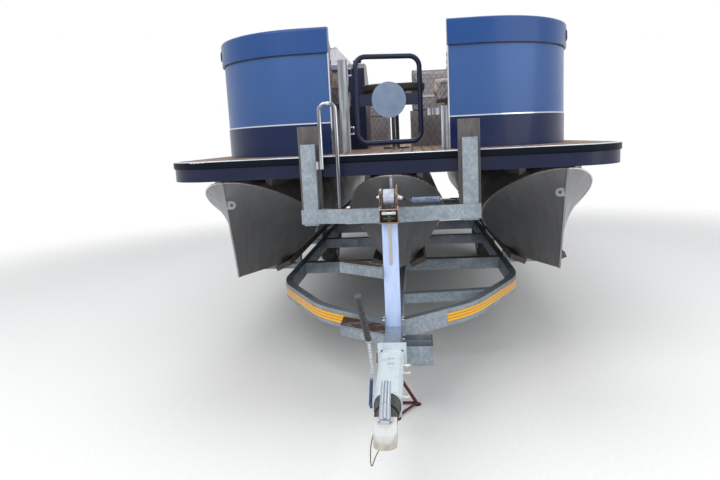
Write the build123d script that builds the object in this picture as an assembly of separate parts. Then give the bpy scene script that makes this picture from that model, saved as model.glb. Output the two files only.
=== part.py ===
"""Three-tube pontoon boat standing on its road trailer.

Frame: +X to the boat's port side, +Y towards the stern, +Z up, the ground at Z = 0.
Lengths along the boat are measured from the front edge of the deck (Y = 0), and heights add up from
the wheels; the last block moves the whole model so that the origin is the middle of its footprint.
"""
from build123d import *
from math import cos, radians, sin, tan
import os

os.makedirs("parts", exist_ok=True)

# Driving dimensions (mm)
BEAM = 2550            # deck width
DECK_LEN = 6400        # deck length
DECK_T = 32            # deck panel
DECK_R_BOW = 300       # plan radius of the front corners
DECK_R_STERN = 120
FASCIA_H = 112         # whole edge trim, nosing and fascia
NOSING_H = 42
NOSING_W = 27
NOSING_R = 9
FASCIA_SET = 8         # fascia behind the nosing
FASCIA_T = 5
FASCIA_PLAY = 4        # deck frame inside the fascia

TUBE_D = 660           # float diameter
TUBE_SIDE = 320        # outer floats' centre lines inside the deck's sides
TUBE_TOP_GAP = 22      # float top below the cross beams
TUBE_SHORT = 150       # outer floats' rear ends ahead of the deck's
CENTRE_SHORT = 840     # and the centre one's, ahead of the motor bracket
FLOAT_UP = 82          # floats' undersides above the trailer
STEM_Y = 130           # top of the outer floats' stems behind the deck edge
STEM_BACK = 55         # centre float's stem behind the outer ones
STEM_RAKE = 205        # bottom of the stem behind its top
STEM_BAR = 10          # bar along the stem
STEM_BAR_OUT = 6       # bar ahead of the skin
STEM_BAR_D = 36
NOSE_FLARE = 1.04      # nose form's half width over the float's radius
NOSE_TOP = 300         # run of the nose to full width, at the top
NOSE_KEEL = 1850       # and at the keel
KEEL_RISE = 72         # keel sweeps up to the stem by this much
KEEL_RUN = 900
KEEL_FIN_H = 26
KEEL_FIN_T = 10
KEEL_FIN_SHORT = 200   # keel strip ends ahead of the float's end
LUG_R = 24             # tow lug
LUG_OUT = 8            # its hole beyond its radius off the stem
LUG_HOLE = 9.5
LUG_T = 8
LUG_DOWN = 130         # tow lugs below the floats' tops
EYE_DOWN = 92          # bow eye of the centre float
EYE_OUT = 16
EYE_R = 16
EYE_HOLE = 8

BEAM_H = 76            # deck cross beams, channel section
BEAM_W = 40
BEAM_T = 4
BEAM_STEP = 450
BEAM_INSET = 60        # first and last beam inside the deck's ends
RISER_X = 165          # riser rails off each float's centre line
RISER_W = 40
RISER_BACK = 430       # front end of the rails behind the stem
RISER_SHORT = 60

FENCE_SIDE = 163       # fence inside the deck's sides
FENCE_Y = 360          # front face of the fence
FENCE_BACK = 120       # rear face inside the deck's end
FENCE_R_BOW = 600
FENCE_R_STERN = 260
FENCE_T = 28           # panel thickness
GATE_GAP = 680         # opening between the bow panels
STERN_GAP = 700        # opening in the stern fence
BAND_H = 184           # lower colour band
PANEL_H = 399          # upper colour band
CAP_H = 143
CAP_OUT = 11           # cap stands out of the panel
CAP_IN = 62            # and reaches in from the panel's face
CAP_R = 16
PANEL_SET = 3          # upper band behind the lower one

GATE_LEFT = -209       # gate's hinge side, closed
GATE_W = 424           # gate over its tubes
GATE_H = 534
GATE_UP = 38           # underside of the gate above the deck
GATE_TUBE = 30
GATE_R = 62            # bend radius of its corners
GATE_BAR_H = 68
GATE_BAR_T = 4
GATE_AJAR = 17         # degrees inward, as it stands
HINGE_Y = 430
HINGE_LOW = 95         # lower hinge above the gate's underside
HINGE_HIGH = 100       # upper hinge below its top
HINGE_LEAF = 4
PIN_R = 5
PIN_GAP = 12           # hinge pin to gate tube
PIN_CLEAR = 20         # hinge pin to its post
PIN_WALL = 4
EYE_H = 26
LUG_H = 8              # post's lugs above and below each hinge eye
LUG_PLAY = 3           # hinge eye between its lugs
POST_W = 56            # posts beside the gates, flat tube
POST_D = 30
POST_WALL = 3
POST_DOWN = 40         # posts below the panel's top
POST_FOOT = 8          # foot plate beyond its post
POST_FOOT_T = 6
LATCH_GAP = 6
LATCH_W = 38           # latch post of the stern gate
LATCH_D = 24
BOW_LATCH_H = 250      # its post above the deck
KEEPER_H = 40          # latch keeper of the bow gate
KEEPER_DOWN = 10       # keeper below its post's top
KEEPER_D = 9
KEEPER_Y = -12         # its front off the hinge line
BOW_LATCH_Y = -18      # bow latch post ahead of the hinge post
DISC_D = 212
DISC_T = 3

SEAT_BASE_H = 290
CUSHION_T = 110
SEAT_GAP = 2           # cushion over its base
WALL_GAP = 10          # seat base inside the fence panel
BACK_CLEAR = 8         # back cushion inside the cap
BACK_H = 673           # lounge backs above the deck
BACK_T = 120
ARM_H = 494
ARM_W = 144
ARM_Y = (90, 230)      # armrest behind the lounge's front
LOUNGE_Y0 = 500
LOUNGE_FRONT = 480     # depth of the part beside the gate
LOUNGE_IN = 348        # inner end of the base beside the gate
LOUNGE_NOSE = 264      # and of its cushion
LOUNGE_X = 450         # inner edge of the bow lounges
LOUNGE_END_PORT = 2450
LOUNGE_LEG_Y = 1900    # front of the port lounge's aft leg
LOUNGE_LEG_X = 112
LOUNGE_GAP = 12        # starboard lounge ahead of the console

TABLE_W = 450
TABLE_Y = 1420
TABLE_H = 403          # underside above the deck
TABLE_T = 58
TABLE_R = 90
TABLE_EDGE = 24        # rounded lower edge
TABLE_LIP = 8          # and upper edge
PEDESTAL_D = 56
PEDESTAL_FOOT_R = 95
PEDESTAL_FOOT_T = 12
PEDESTAL_HEAD_R = 85
PEDESTAL_HEAD_T = 10

CONSOLE_Y0 = 1690
CONSOLE_L = 560
CONSOLE_X = 236        # inner side of the console
CONSOLE_WALL = 40      # its outer side off the seat bases' line
CONSOLE_H = 673
BROW = (60, 40)        # sloped front edge of its top, run and drop
BROW_END = 240         # flat top's rear end behind the front
DASH_DROP = 230        # dash's lower edge below the top
DASH_LIP = 100         # height of the dash's rear face
KICK_IN = 110          # knee recess under the dash
KICK_DROP = 40
SCREEN_Y = 90          # windscreen's foot behind the console's front
SCREEN_T = 6
SCREEN_H = 150
SCREEN_LEAN = 50
SCREEN_IN = 30         # its outer end inside the console's side
SCREEN_SHORT = 110     # and its inner end
SCREEN_CUT = (15, 120)  # raked inner corner: start above the foot, run
WHEEL_D = 370
WHEEL_RIM_R = 14
WHEEL_TILT = 24
WHEEL_OUT = 62
WHEEL_DOWN = 195       # its middle below the console's top
WHEEL_HUB_R = 42
SPOKE_W = 26
SPOKE_T = 9
SPOKE_ROOT = 30
SHAFT_R = 12
COLUMN_R = 34
COLUMN_L = 200
HELM_Y = 2860
HELM_L = 560
HELM_X = 110
HELM_BACK_H = 648

BENCH_L = 800          # stern bench, from the fence's rear face
BENCH_X = 420          # its inner ends, beside the stern walkway
POD_W = 520            # motor bracket
POD_UP = 148           # its underside above the floats'
POD_OUT = 60           # its rear beyond the deck's edge
POD_GAP = 3            # its rear top below the fascia
POD_AHEAD = 4          # gap to the centre float
POD_RAKE = (420, 30)   # rising part of the underside: start ahead of the rear, rise
POD_TAIL = (55, 130)   # transom's lower edge: ahead of its top, above the underside
TRANSOM_W = 580
TRANSOM_T = 35

TYRE_D = 525
TYRE_W = 195
TYRE_OVER = 25         # tyre's top above the chassis
TYRE_SIDE = 150        # tyre's middle outboard of the side rail's
SHOULDER_R = 40        # sloped shoulder of the tread
SHOULDER_W = 26
BEAD_IN = 22           # bead inside the tyre's side
AXLE_Y = 4070          # axle behind the deck edge
RIM_D = 330
RIM_W = 168
RIM_LIP = 6
RIM_T = 4
DISC_IN = 14           # rim's well under the bead
BEAD = 6               # tyre's bead inside the rim's edge
HUB_D = 120
HUB_BACK = 45
HUB_CAP = 46
STUB_D = 40
STUB_OUT = 20          # stub end beyond the tyre's middle
ARM_LEN = 95           # trailing arms
ARM_R = 34
ARM_T = 32
ARM_IN = 7             # arm outboard of the rail's middle
AXLE_H = 70            # square axle beam
AXLE_DOWN = 5          # below the chassis
PAD_L = 90
GUARD_GAP = 8
GUARD_T = 3
GUARD_RUN = 45         # mudguard beyond the tyre, fore and aft
GUARD_DROP = 140
GUARD_SLOPE = 100
GUARD_IN = 4           # beyond the tyre's inner side
GUARD_OUT = 22         # and its outer side
GUARD_STRAP = 30
FIT = 0.05             # radial play of a shaft in its hub

FRAME_H = 100          # trailer chassis
RAIL_W = 50
RAIL_IN = 170          # side rails inside the outer floats' centre lines
CHASSIS_SHORT = 340    # rear end ahead of the deck's
DRAWBAR_W = 80
DRAWBAR_Y = -500       # front end of the drawbar
BOW_R = 700            # bends of the curved front frame
BOW_NOSE = (5, -150)
BOW_ELBOW = (440, 205)
BOW_SHOULDER_Y = 850
BOW_TAIL = 250
FLANGE_T = 5
CROSS_FRONT_YS = (1460, 2600, 3560, 4560)
CROSS_REAR = 160       # last cross member ahead of the chassis' end
CROSS_W = 80
CROSS_UP = 14          # cross members' undersides above the rails'
STAY_Y = 395           # single diagonal stay, on the port side
STAY_X = 600
STAY_W = 60
STAY_AFT = 130         # its outer end behind its inner one
STAY_H = 60
BUNK_W = 112
BUNK_T = 38
BUNK_TILT = 22.5
BUNK_GAP = 0.3
BUNK_Y = 940
BUNK_SHORT = 420       # rear end ahead of the deck's
BRACKET_W = 44
BRACKET_IN = 10        # bracket inside its cross member's width
TUBE_ARM = 175         # outriggers beyond the outer floats' centres
OUTRIGGER_T = 40
SIDE_BOX_X = 196       # open box on the drawbar's side
SIDE_BOX_Y = -360
SIDE_BOX_L = 184
SIDE_BOX_H = 100
SIDE_BOX_DOWN = 70     # its rim below the chassis' top
SIDE_BOX_T = 4

MAST_W = 78            # winch post
MAST_T = 5
MAST_Y = -215          # its foot
MAST_LEAN = 25         # top behind the foot
MAST_DOWN = 146        # its top below the floats'
YOKE_H = 76            # swept cross bar behind the winch post
YOKE_T = 6
YOKE_X = 470
YOKE_DEPTH = 45
YOKE_SHORT = 8         # its ledges end inside the uprights
STAND_X = 418          # bow stops off the centre line
STOP_UP = 158          # their tops above the deck
STOP_LOW = 10          # their lower ends below the yoke
STOP_W = 112
STOP_T = 40
STOP_GAP = 2
CHANNEL_W = 78
CHANNEL_D = 40
CHANNEL_T = 4
CHANNEL_UP = 65        # uprights above the deck
HANDRAIL_D = 22
HANDRAIL_UP = 278
HANDRAIL_W = 84
HANDRAIL_R = 34
HANDRAIL_GAP = 6       # beside its timber
HANDRAIL_DOWN = 130    # its short leg's foot below the upright's top
CLAMP_H = 40
CLAMP_T = 8

DRUM_UP = 62           # winch drum above its post
DRUM_R = 40
DRUM_W = 54
WINCH_W = 76
WINCH_D = 90
WINCH_T = 4
STRAP_W = 48
STRAP_T = 3
CRANK_R = 9
GRIP_R = 13
GRIP_L = 132
# near end Y, far end Y, top above the chassis, tread depth
STEPS = ((-262, -83, 303, 92), (-360, -190, -13, 165))
STEP_X = 283
STEP_H = 50
STEP_T = 6

COUPLER_DOWN = 70      # middle of the coupling tube below the chassis' top
HEAD_Y = -1300         # front of the coupling head
BELLOWS_Y = -1190
HOUSING_Y = -1030
HOUSING_W = 108
HOUSING_LOW = 55
HOUSING_HIGH = 38
HOUSING_EDGE = 14
COUPLER_FLANGE_T = 10
COUPLER_FLANGE_W = 136
COUPLER_FLANGE_DOWN = 24
SLOT_YS = (-640, -700)
SLOT_W = 28
SLOT_L = 26
SLOT_DEEP = 8
BELLOWS_R = 43
RIB_H = 10
N_RIBS = 7
HEAD_W = 84
HEAD_R = 10
HEAD_CORNER = 34       # rounded front of the head, seen from above
BALL_R = 25
BALL_Y = 48            # ball's middle behind the head's front
BALL_DOWN = 32
BALL_PLAY = 0.5
HANDLE_W = 32
LEVER_R = 7
LEVER_GRIP_R = 13
LEVER_GAP = 3          # lever off its plate
CABLE_D = 4
STAND_Y = -150
STAND_D = 42
STAND_UP = 150         # its tube's lower end
STAND_KNEE = 215       # where the legs meet it
FOOT_R = 20
FOOT_T = 8

LAMP_IN = 75           # light board's ends inside the outer floats' centre lines
BOARD_H = 70
BOARD_T = 30
LAMP_W = 220
LAMP_D = 45
LAMP_H = 90
LAMP_EDGE = 10
LAMP_UP = 5            # lamps above the board
PLATE_W = 520
PLATE_H = 110
PLATE_T = 3
PLATE_DOWN = 5

# Heights, from the wheels up
AXLE_Z = TYRE_D / 2
FRAME_TOP = TYRE_D - TYRE_OVER
FRAME_BOTTOM = FRAME_TOP - FRAME_H
COUPLER_Z = FRAME_TOP - COUPLER_DOWN
TUBE_BOTTOM = FRAME_TOP + FLOAT_UP
TUBE_R = TUBE_D / 2
TUBE_Z = TUBE_BOTTOM + TUBE_R
TUBE_TOP = TUBE_BOTTOM + TUBE_D
LUG_Z = TUBE_TOP - LUG_DOWN
EYE_Z = TUBE_TOP - EYE_DOWN
MAST_TOP = TUBE_TOP - MAST_DOWN
POD_BOTTOM = TUBE_BOTTOM + POD_UP
BEAM_BOTTOM = TUBE_TOP + TUBE_TOP_GAP
BEAM_TOP = BEAM_BOTTOM + BEAM_H
DECK_TOP = BEAM_TOP + DECK_T
FASCIA_BOTTOM = DECK_TOP - FASCIA_H
BAND_TOP = DECK_TOP + BAND_H
PANEL_TOP = BAND_TOP + PANEL_H
CAP_TOP = PANEL_TOP + CAP_H
GATE_Z = DECK_TOP + GATE_UP
SEAT_BASE_TOP = DECK_TOP + SEAT_BASE_H
SEAT_TOP = SEAT_BASE_TOP + CUSHION_T
BACK_TOP = DECK_TOP + BACK_H
ARM_TOP = DECK_TOP + ARM_H
TABLE_Z = DECK_TOP + TABLE_H
CONSOLE_TOP = DECK_TOP + CONSOLE_H
HELM_BACK_TOP = DECK_TOP + HELM_BACK_H
STOP_TOP = DECK_TOP + STOP_UP
STOP_BOTTOM = MAST_TOP - YOKE_H - STOP_LOW
CHANNEL_TOP = DECK_TOP + CHANNEL_UP
HANDRAIL_TOP = DECK_TOP + HANDRAIL_UP

# Widths and lengths
TUBE_X = BEAM / 2 - TUBE_SIDE
FENCE_X = BEAM / 2 - FENCE_SIDE
RAIL_X = TUBE_X - RAIL_IN
TYRE_X = RAIL_X + TYRE_SIDE
LIGHT_X = TUBE_X - LAMP_IN
TUBE_END = DECK_LEN - TUBE_SHORT
CENTRE_END = DECK_LEN - CENTRE_SHORT
FENCE_END = DECK_LEN - FENCE_BACK
BENCH_Y = FENCE_END - BENCH_L
CONSOLE_Y1 = CONSOLE_Y0 + CONSOLE_L
HELM_END = HELM_Y + HELM_L
BUNK_END = DECK_LEN - BUNK_SHORT
CHASSIS_END = DECK_LEN - CHASSIS_SHORT
CROSS_YS = CROSS_FRONT_YS + (CHASSIS_END - CROSS_REAR,)
# name, centre line X, stem top Y, rear end Y
FLOATS = (("starboard", -TUBE_X, STEM_Y, TUBE_END), ("centre", 0, STEM_Y + STEM_BACK, CENTRE_END),
          ("port", TUBE_X, STEM_Y, TUBE_END))
SIDES = (("starboard", -1), ("port", 1))

parts = {}


def put(name, *shapes):
    """Keep the solids of one node."""
    parts[name] = [s for shape in shapes for s in shape.solids()]


def block(x0, x1, y0, y1, z0, z1):
    """Box between two corners."""
    return Pos((x0 + x1) / 2, (y0 + y1) / 2, (z0 + z1) / 2) * Box(x1 - x0, y1 - y0, z1 - z0)


def span(xa, xb, y0, y1, z0, z1):
    """Box whose two X limits may come in either order."""
    return block(min(xa, xb), max(xa, xb), y0, y1, z0, z1)


def rod(p, q, r):
    """Round bar from p to q."""
    p, q = Vector(*p), Vector(*q)
    axis = q - p
    return Plane(origin=p, z_dir=axis) * extrude(Circle(r), axis.length)


def prism_x(points, x0, x1):
    """Outline of (y, z) points, extruded from x0 to x1."""
    face = make_face(Polyline(*[(x0, y, z) for y, z in points], close=True))
    return extrude(face, x1 - x0, dir=(1, 0, 0))


def prism_y(points, y0, y1):
    """Outline of (x, z) points, extruded from y0 to y1."""
    face = make_face(Polyline(*[(x, y0, z) for x, z in points], close=True))
    return extrude(face, y1 - y0, dir=(0, 1, 0))


def prism_z(points, z0, z1):
    """Outline of (x, y) points, extruded from z0 to z1."""
    face = make_face(Polyline(*[(x, y, z0) for x, y in points], close=True))
    return extrude(face, z1 - z0, dir=(0, 0, 1))


def along_x(y, z, x0, x1, r):
    """Round bar parallel to X."""
    return Plane(origin=(x0, y, z), z_dir=(1, 0, 0)) * extrude(Circle(r), x1 - x0)


def along_y(x, z, y0, y1, r):
    """Round bar parallel to Y."""
    return Plane(origin=(x, y0, z), z_dir=(0, 1, 0)) * extrude(Circle(r), y1 - y0)


def upright(x, y, z0, z1, r):
    """Round bar parallel to Z."""
    return Pos(x, y, z0) * extrude(Circle(r), z1 - z0)


def raised(sketch, z0, z1):
    """Plan sketch extruded between two heights."""
    return Pos(0, 0, z0) * extrude(sketch, z1 - z0)


def polygon(*pts):
    return make_face(Polyline(*pts, close=True))


def bent_tube(points, bend, radius):
    """Tube along a path with rounded corners."""
    path = FilletPolyline(*points, radius=bend)
    return sweep(Plane(origin=path @ 0, z_dir=path % 0) * Circle(radius), path)


def rounded_plan(half_x, y0, y1, r_front, r_back):
    """Plan outline symmetric about X = 0, with other radii at the bow than at the stern."""
    sketch = Pos(0, (y0 + y1) / 2) * Rectangle(2 * half_x, y1 - y0)
    sketch = fillet(sketch.vertices().sort_by(Axis.Y)[:2], r_front)
    return fillet(sketch.vertices().sort_by(Axis.Y)[-2:], r_back)


def deck_plan(inset):
    return rounded_plan(BEAM / 2 - inset, inset, DECK_LEN - inset, DECK_R_BOW - inset, DECK_R_STERN - inset)


def fence_plan(inset):
    return rounded_plan(FENCE_X - inset, FENCE_Y + inset, FENCE_END - inset,
                        FENCE_R_BOW - inset, FENCE_R_STERN - inset)


def slab(plan, inset, z0, z1):
    return raised(plan(inset), z0, z1)


def ring(plan, out, inner, z0, z1):
    """Wall between two insets of a plan outline."""
    return raised(plan(out) - plan(inner), z0, z1)


def side_of(shape, sign):
    """The solids of a shape that lie on one side of the centre line."""
    return [s for s in shape.solids() if s.center().X * sign > 0]


# Floats
def nose_wedge(y_stem):
    """Flared bow form: blunt in plan at the top, fine at the keel, stem raked aft below."""
    w = TUBE_R * NOSE_FLARE
    end = TUBE_END + 1
    faces = []
    for z, y, run in ((TUBE_BOTTOM - 1, y_stem + STEM_RAKE, NOSE_KEEL), (TUBE_TOP + 1, y_stem, NOSE_TOP)):
        pts = [(0, y, z), (w, y + run, z), (w, end, z), (-w, end, z), (-w, y + run, z)]
        faces.append(make_face(Polyline(*pts, close=True)))
    return loft(faces, ruled=True)


def stem_y(y_stem, z):
    """Stem line's place at a height."""
    return y_stem + STEM_RAKE * (TUBE_TOP - z) / TUBE_D


def float_tube(x, y_stem, y_end):
    """Float with its flared nose, swept-up keel, stem bar and keel strip."""
    body = along_y(0, TUBE_Z, y_stem - 1, y_end, TUBE_R) & nose_wedge(y_stem)
    y_tip = y_stem + STEM_RAKE
    z_foot = TUBE_BOTTOM + KEEL_RISE
    slope = KEEL_RISE / KEEL_RUN
    y_keel = y_tip + KEEL_RUN
    body = body - prism_x([(y_stem, TUBE_BOTTOM - 1), (y_keel, TUBE_BOTTOM - 1), (y_keel, TUBE_BOTTOM),
                           (y_stem, z_foot + slope * STEM_RAKE)], -TUBE_R, TUBE_R)
    y_foot = stem_y(y_stem, z_foot)
    behind = STEM_BAR_D - STEM_BAR_OUT
    bar = [(y_stem - STEM_BAR_OUT, TUBE_TOP), (y_stem + behind, TUBE_TOP), (y_foot + behind, z_foot),
           (y_foot - STEM_BAR_OUT, z_foot)]
    fin = block(-KEEL_FIN_T / 2, KEEL_FIN_T / 2, y_keel, y_end - KEEL_FIN_SHORT, TUBE_BOTTOM - KEEL_FIN_H,
                TUBE_BOTTOM + KEEL_FIN_T)
    return body + prism_x(bar, -STEM_BAR / 2, STEM_BAR / 2) + fin


def tow_lug(y_stem, side):
    """Rounded plate with a hole, on one side of an outer float's stem."""
    y = stem_y(y_stem, LUG_Z)
    out = side * (LUG_R + LUG_OUT)
    lug = span(0, out, y, y + LUG_T, LUG_Z - LUG_R, LUG_Z + LUG_R) + along_y(out, LUG_Z, y, y + LUG_T, LUG_R)
    return lug - along_y(out, LUG_Z, y - 1, y + LUG_T + 1, LUG_HOLE)


def bow_eye(y_stem):
    y = stem_y(y_stem, EYE_Z) - EYE_OUT
    return (along_x(y, EYE_Z, -STEM_BAR / 2, STEM_BAR / 2, EYE_R)
            - along_x(y, EYE_Z, -STEM_BAR, STEM_BAR, EYE_HOLE))


for label, x, y_stem, y_end in FLOATS:
    hull = float_tube(x, y_stem, y_end)
    hull = hull + (tow_lug(y_stem, -x / abs(x)) if x else bow_eye(y_stem))
    put(f"float_{label}", Pos(x, 0, 0) * hull)

# Deck and its frame
inside_fascia = FASCIA_SET + FASCIA_T + FASCIA_PLAY
half = BEAM / 2 - inside_fascia
n_steps = round((DECK_LEN - 2 * BEAM_INSET) / BEAM_STEP)
pitch = (DECK_LEN - 2 * BEAM_INSET) / n_steps
channel = (block(-half, half, -BEAM_W / 2, BEAM_W / 2, BEAM_BOTTOM, BEAM_TOP)
           - block(-half - 1, half + 1, BEAM_T - BEAM_W / 2, BEAM_W, BEAM_BOTTOM + BEAM_T, BEAM_TOP - BEAM_T))
within = slab(deck_plan, inside_fascia, BEAM_BOTTOM, BEAM_TOP)
put("deck_frame", *[(Pos(0, BEAM_INSET + i * pitch, 0) * channel) & within for i in range(n_steps + 1)])
risers = []
for _, x, y_stem, y_end in FLOATS:
    hull = along_y(x, TUBE_Z, 0, DECK_LEN, TUBE_R)
    for side in (-1, 1):
        c = x + side * RISER_X
        rail = block(c - RISER_W / 2, c + RISER_W / 2, y_stem + RISER_BACK, y_end - RISER_SHORT, TUBE_Z,
                     BEAM_BOTTOM)
        risers.append(rail - hull)
put("riser_rails", *risers)
put("deck_panel", slab(deck_plan, NOSING_W, BEAM_TOP, DECK_TOP))
nosing = slab(deck_plan, 0, DECK_TOP - NOSING_H, DECK_TOP)
levels = nosing.faces().sort_by(Axis.Z)
nosing = fillet(levels[-1].edges() + levels[0].edges(), NOSING_R)
nosing = nosing - slab(deck_plan, NOSING_W, BEAM_TOP, DECK_TOP + 1)
nosing = nosing - slab(deck_plan, FASCIA_SET + FASCIA_T, DECK_TOP - NOSING_H - 1, BEAM_TOP)
put("deck_nosing", nosing)
put("deck_fascia", ring(deck_plan, FASCIA_SET, FASCIA_SET + FASCIA_T, FASCIA_BOTTOM, DECK_TOP - NOSING_H))

# Fence: two colour bands and the cap
reach_in, reach_out = CAP_IN + 1, CAP_OUT + 1
cuts = (block(-GATE_GAP / 2, GATE_GAP / 2, FENCE_Y - reach_out, FENCE_Y + reach_in, DECK_TOP - 1, CAP_TOP + 1)
        + block(-STERN_GAP / 2, STERN_GAP / 2, FENCE_END - reach_in, FENCE_END + reach_out, DECK_TOP - 1,
                CAP_TOP + 1))
cap = slab(fence_plan, -CAP_OUT, PANEL_TOP, CAP_TOP)
cap = fillet(cap.faces().sort_by(Axis.Z)[-1].edges(), CAP_R)
cap = cap - slab(fence_plan, CAP_IN, PANEL_TOP - 1, CAP_TOP + 1)
walls = (("fence_band", ring(fence_plan, 0, FENCE_T, DECK_TOP, BAND_TOP)),
         ("fence_panel", ring(fence_plan, PANEL_SET, FENCE_T, BAND_TOP, PANEL_TOP)),
         ("fence_cap", cap))
for name, wall in walls:
    for label, sign in SIDES:
        put(f"{name}_{label}", *side_of(wall - cuts, sign))

# Gates and their posts
HINGE_ZS = (GATE_Z + HINGE_LOW, GATE_Z + GATE_H - HINGE_HIGH)
POST_TOP = PANEL_TOP - POST_DOWN
gate_mid_z = GATE_Z + GATE_H / 2
eye_r = PIN_R + PIN_WALL
lug_r = PIN_R + 1


def gate_frame(width):
    """Gate in the XZ plane, its pin on the Z axis: bent tube, bar, hinge leaves and eyes."""
    t = GATE_TUBE / 2
    x0, x1, z0, z1 = PIN_GAP + t, PIN_GAP + width - t, GATE_Z + t, GATE_Z + GATE_H - t
    outline = Plane(origin=(0, 0, 0), x_dir=(1, 0, 0), z_dir=(0, -1, 0)) * (
        Pos((x0 + x1) / 2, (z0 + z1) / 2) * RectangleRounded(x1 - x0, z1 - z0, GATE_R))
    path = outline.wires()[0]
    body = sweep(Plane(origin=path @ 0, z_dir=path % 0) * Circle(t), path)
    body = body + block(x0, x1, -GATE_BAR_T / 2, GATE_BAR_T / 2, gate_mid_z - GATE_BAR_H / 2,
                        gate_mid_z + GATE_BAR_H / 2)
    for z in HINGE_ZS:
        low, high = z - EYE_H / 2, z + EYE_H / 2
        body = body + block(0, x0, -HINGE_LEAF / 2, HINGE_LEAF / 2, low, high)
        body = body + upright(0, 0, low, high, eye_r) - upright(0, 0, low - 1, high + 1, PIN_R + FIT)
    return body


def hinge_post():
    """Flat-tube post left of a pin on the Z axis, with its foot plate, lugs and pins."""
    x0, x1, y = -PIN_CLEAR - POST_W, -PIN_CLEAR, POST_D / 2
    wall, rim = POST_WALL, POST_FOOT
    bore = block(x0 + wall, x1 - wall, wall - y, y - wall, DECK_TOP - 1, POST_TOP - wall)
    foot = block(x0 - rim, x1 + rim, -y - rim, y + rim, DECK_TOP, DECK_TOP + POST_FOOT_T)
    post = block(x0, x1, -y, y, DECK_TOP, POST_TOP) + foot - bore
    for z in HINGE_ZS:
        low, high = z - EYE_H / 2 - LUG_PLAY, z + EYE_H / 2 + LUG_PLAY
        post = post + upright(0, 0, low - LUG_H, high + LUG_H, PIN_R)
        for z0 in (low - LUG_H, high):
            post = post + block(x1, 0, -lug_r, lug_r, z0, z0 + LUG_H) + upright(0, 0, z0, z0 + LUG_H, lug_r)
    return post


bow_hinge = Location((GATE_LEFT - PIN_GAP, HINGE_Y, 0))
keeper_x = GATE_LEFT + GATE_W + LATCH_GAP
latch_y = HINGE_Y + BOW_LATCH_Y
keeper_top = DECK_TOP + BOW_LATCH_H - KEEPER_DOWN
bow_latch = (block(GATE_GAP / 2 - POST_W * 0.75, GATE_GAP / 2, latch_y - POST_D / 2, latch_y + POST_D / 2,
                   DECK_TOP, DECK_TOP + BOW_LATCH_H)
             + block(keeper_x, GATE_GAP / 2, HINGE_Y + KEEPER_Y, HINGE_Y + KEEPER_Y + KEEPER_D,
                     keeper_top - KEEPER_H, keeper_top))
put("gate_posts", bow_hinge * hinge_post(), bow_latch)
swing = bow_hinge * Location((0, 0, 0), (0, 0, GATE_AJAR))
put("bow_gate", swing * gate_frame(GATE_W))
put("gate_disc", swing * along_y(PIN_GAP + GATE_W / 2, gate_mid_z, -GATE_BAR_T / 2 - DISC_T, -GATE_BAR_T / 2,
                                 DISC_D / 2))

stern_x, stern_y = -STERN_GAP / 2 + POST_FOOT + POST_W + PIN_CLEAR, FENCE_END - FENCE_T / 2
stern_hinge = Location((stern_x, stern_y, 0))
stern_gate_w = STERN_GAP / 2 - LATCH_W - LATCH_GAP - PIN_GAP - stern_x
put("stern_gate", stern_hinge * Location((0, 0, 0), (0, 0, -90)) * gate_frame(stern_gate_w))
stern_latch = block(STERN_GAP / 2 - LATCH_W, STERN_GAP / 2, stern_y - LATCH_D / 2, stern_y + LATCH_D / 2,
                    DECK_TOP, POST_TOP)
put("stern_gate_posts", stern_hinge * hinge_post(), stern_latch)

# Bow lounges
seat_wall = fence_plan(FENCE_T + WALL_GAP)
back_out = CAP_IN + BACK_CLEAR
back_in = back_out + BACK_T
cushion_z = SEAT_BASE_TOP + SEAT_GAP


def lounge_plan(outline, sign, end, inner):
    """Seat plan of one side: beside the gate, along the fence and, to port, a leg across the deck."""
    pts = [(sign * inner, LOUNGE_Y0), (sign * inner, FENCE_Y), (sign * BEAM, FENCE_Y), (sign * BEAM, end)]
    if sign > 0:
        pts += [(LOUNGE_LEG_X, end), (LOUNGE_LEG_X, LOUNGE_LEG_Y), (LOUNGE_X, LOUNGE_LEG_Y)]
    else:
        pts += [(sign * LOUNGE_X, end)]
    pts += [(sign * LOUNGE_X, LOUNGE_Y0 + LOUNGE_FRONT), (sign * inner, LOUNGE_Y0 + LOUNGE_FRONT)]
    return outline & polygon(*pts)


bases, seats, backs = [], [], []
for sign, end in ((-1, CONSOLE_Y0 - LOUNGE_GAP), (1, LOUNGE_END_PORT)):
    bases.append(raised(lounge_plan(seat_wall, sign, end, LOUNGE_IN), DECK_TOP, SEAT_BASE_TOP))
    seat = lounge_plan(fence_plan(back_in + SEAT_GAP), sign, end, LOUNGE_NOSE)
    back = lounge_plan(fence_plan(back_out) - fence_plan(back_in), sign, end, LOUNGE_IN)
    if sign > 0:
        leg = end - BACK_T
        seat = seat - polygon((0, leg - SEAT_GAP), (BEAM, leg - SEAT_GAP), (BEAM, end + 1), (0, end + 1))
        back = back + (fence_plan(back_out) & polygon((LOUNGE_LEG_X, leg), (BEAM, leg), (BEAM, end),
                                                      (LOUNGE_LEG_X, end)))
    seats.append(raised(seat, cushion_z, SEAT_TOP))
    backs.append(raised(back, cushion_z, BACK_TOP))
arm_y0, arm_y1 = (LOUNGE_Y0 + y for y in ARM_Y)
arm = block(-LOUNGE_NOSE - ARM_W, -LOUNGE_NOSE, arm_y0, arm_y1, SEAT_TOP + SEAT_GAP, ARM_TOP)
put("lounge_bases", *bases)
put("lounge_seats", *seats)
put("lounge_backs", *backs, arm)

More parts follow.
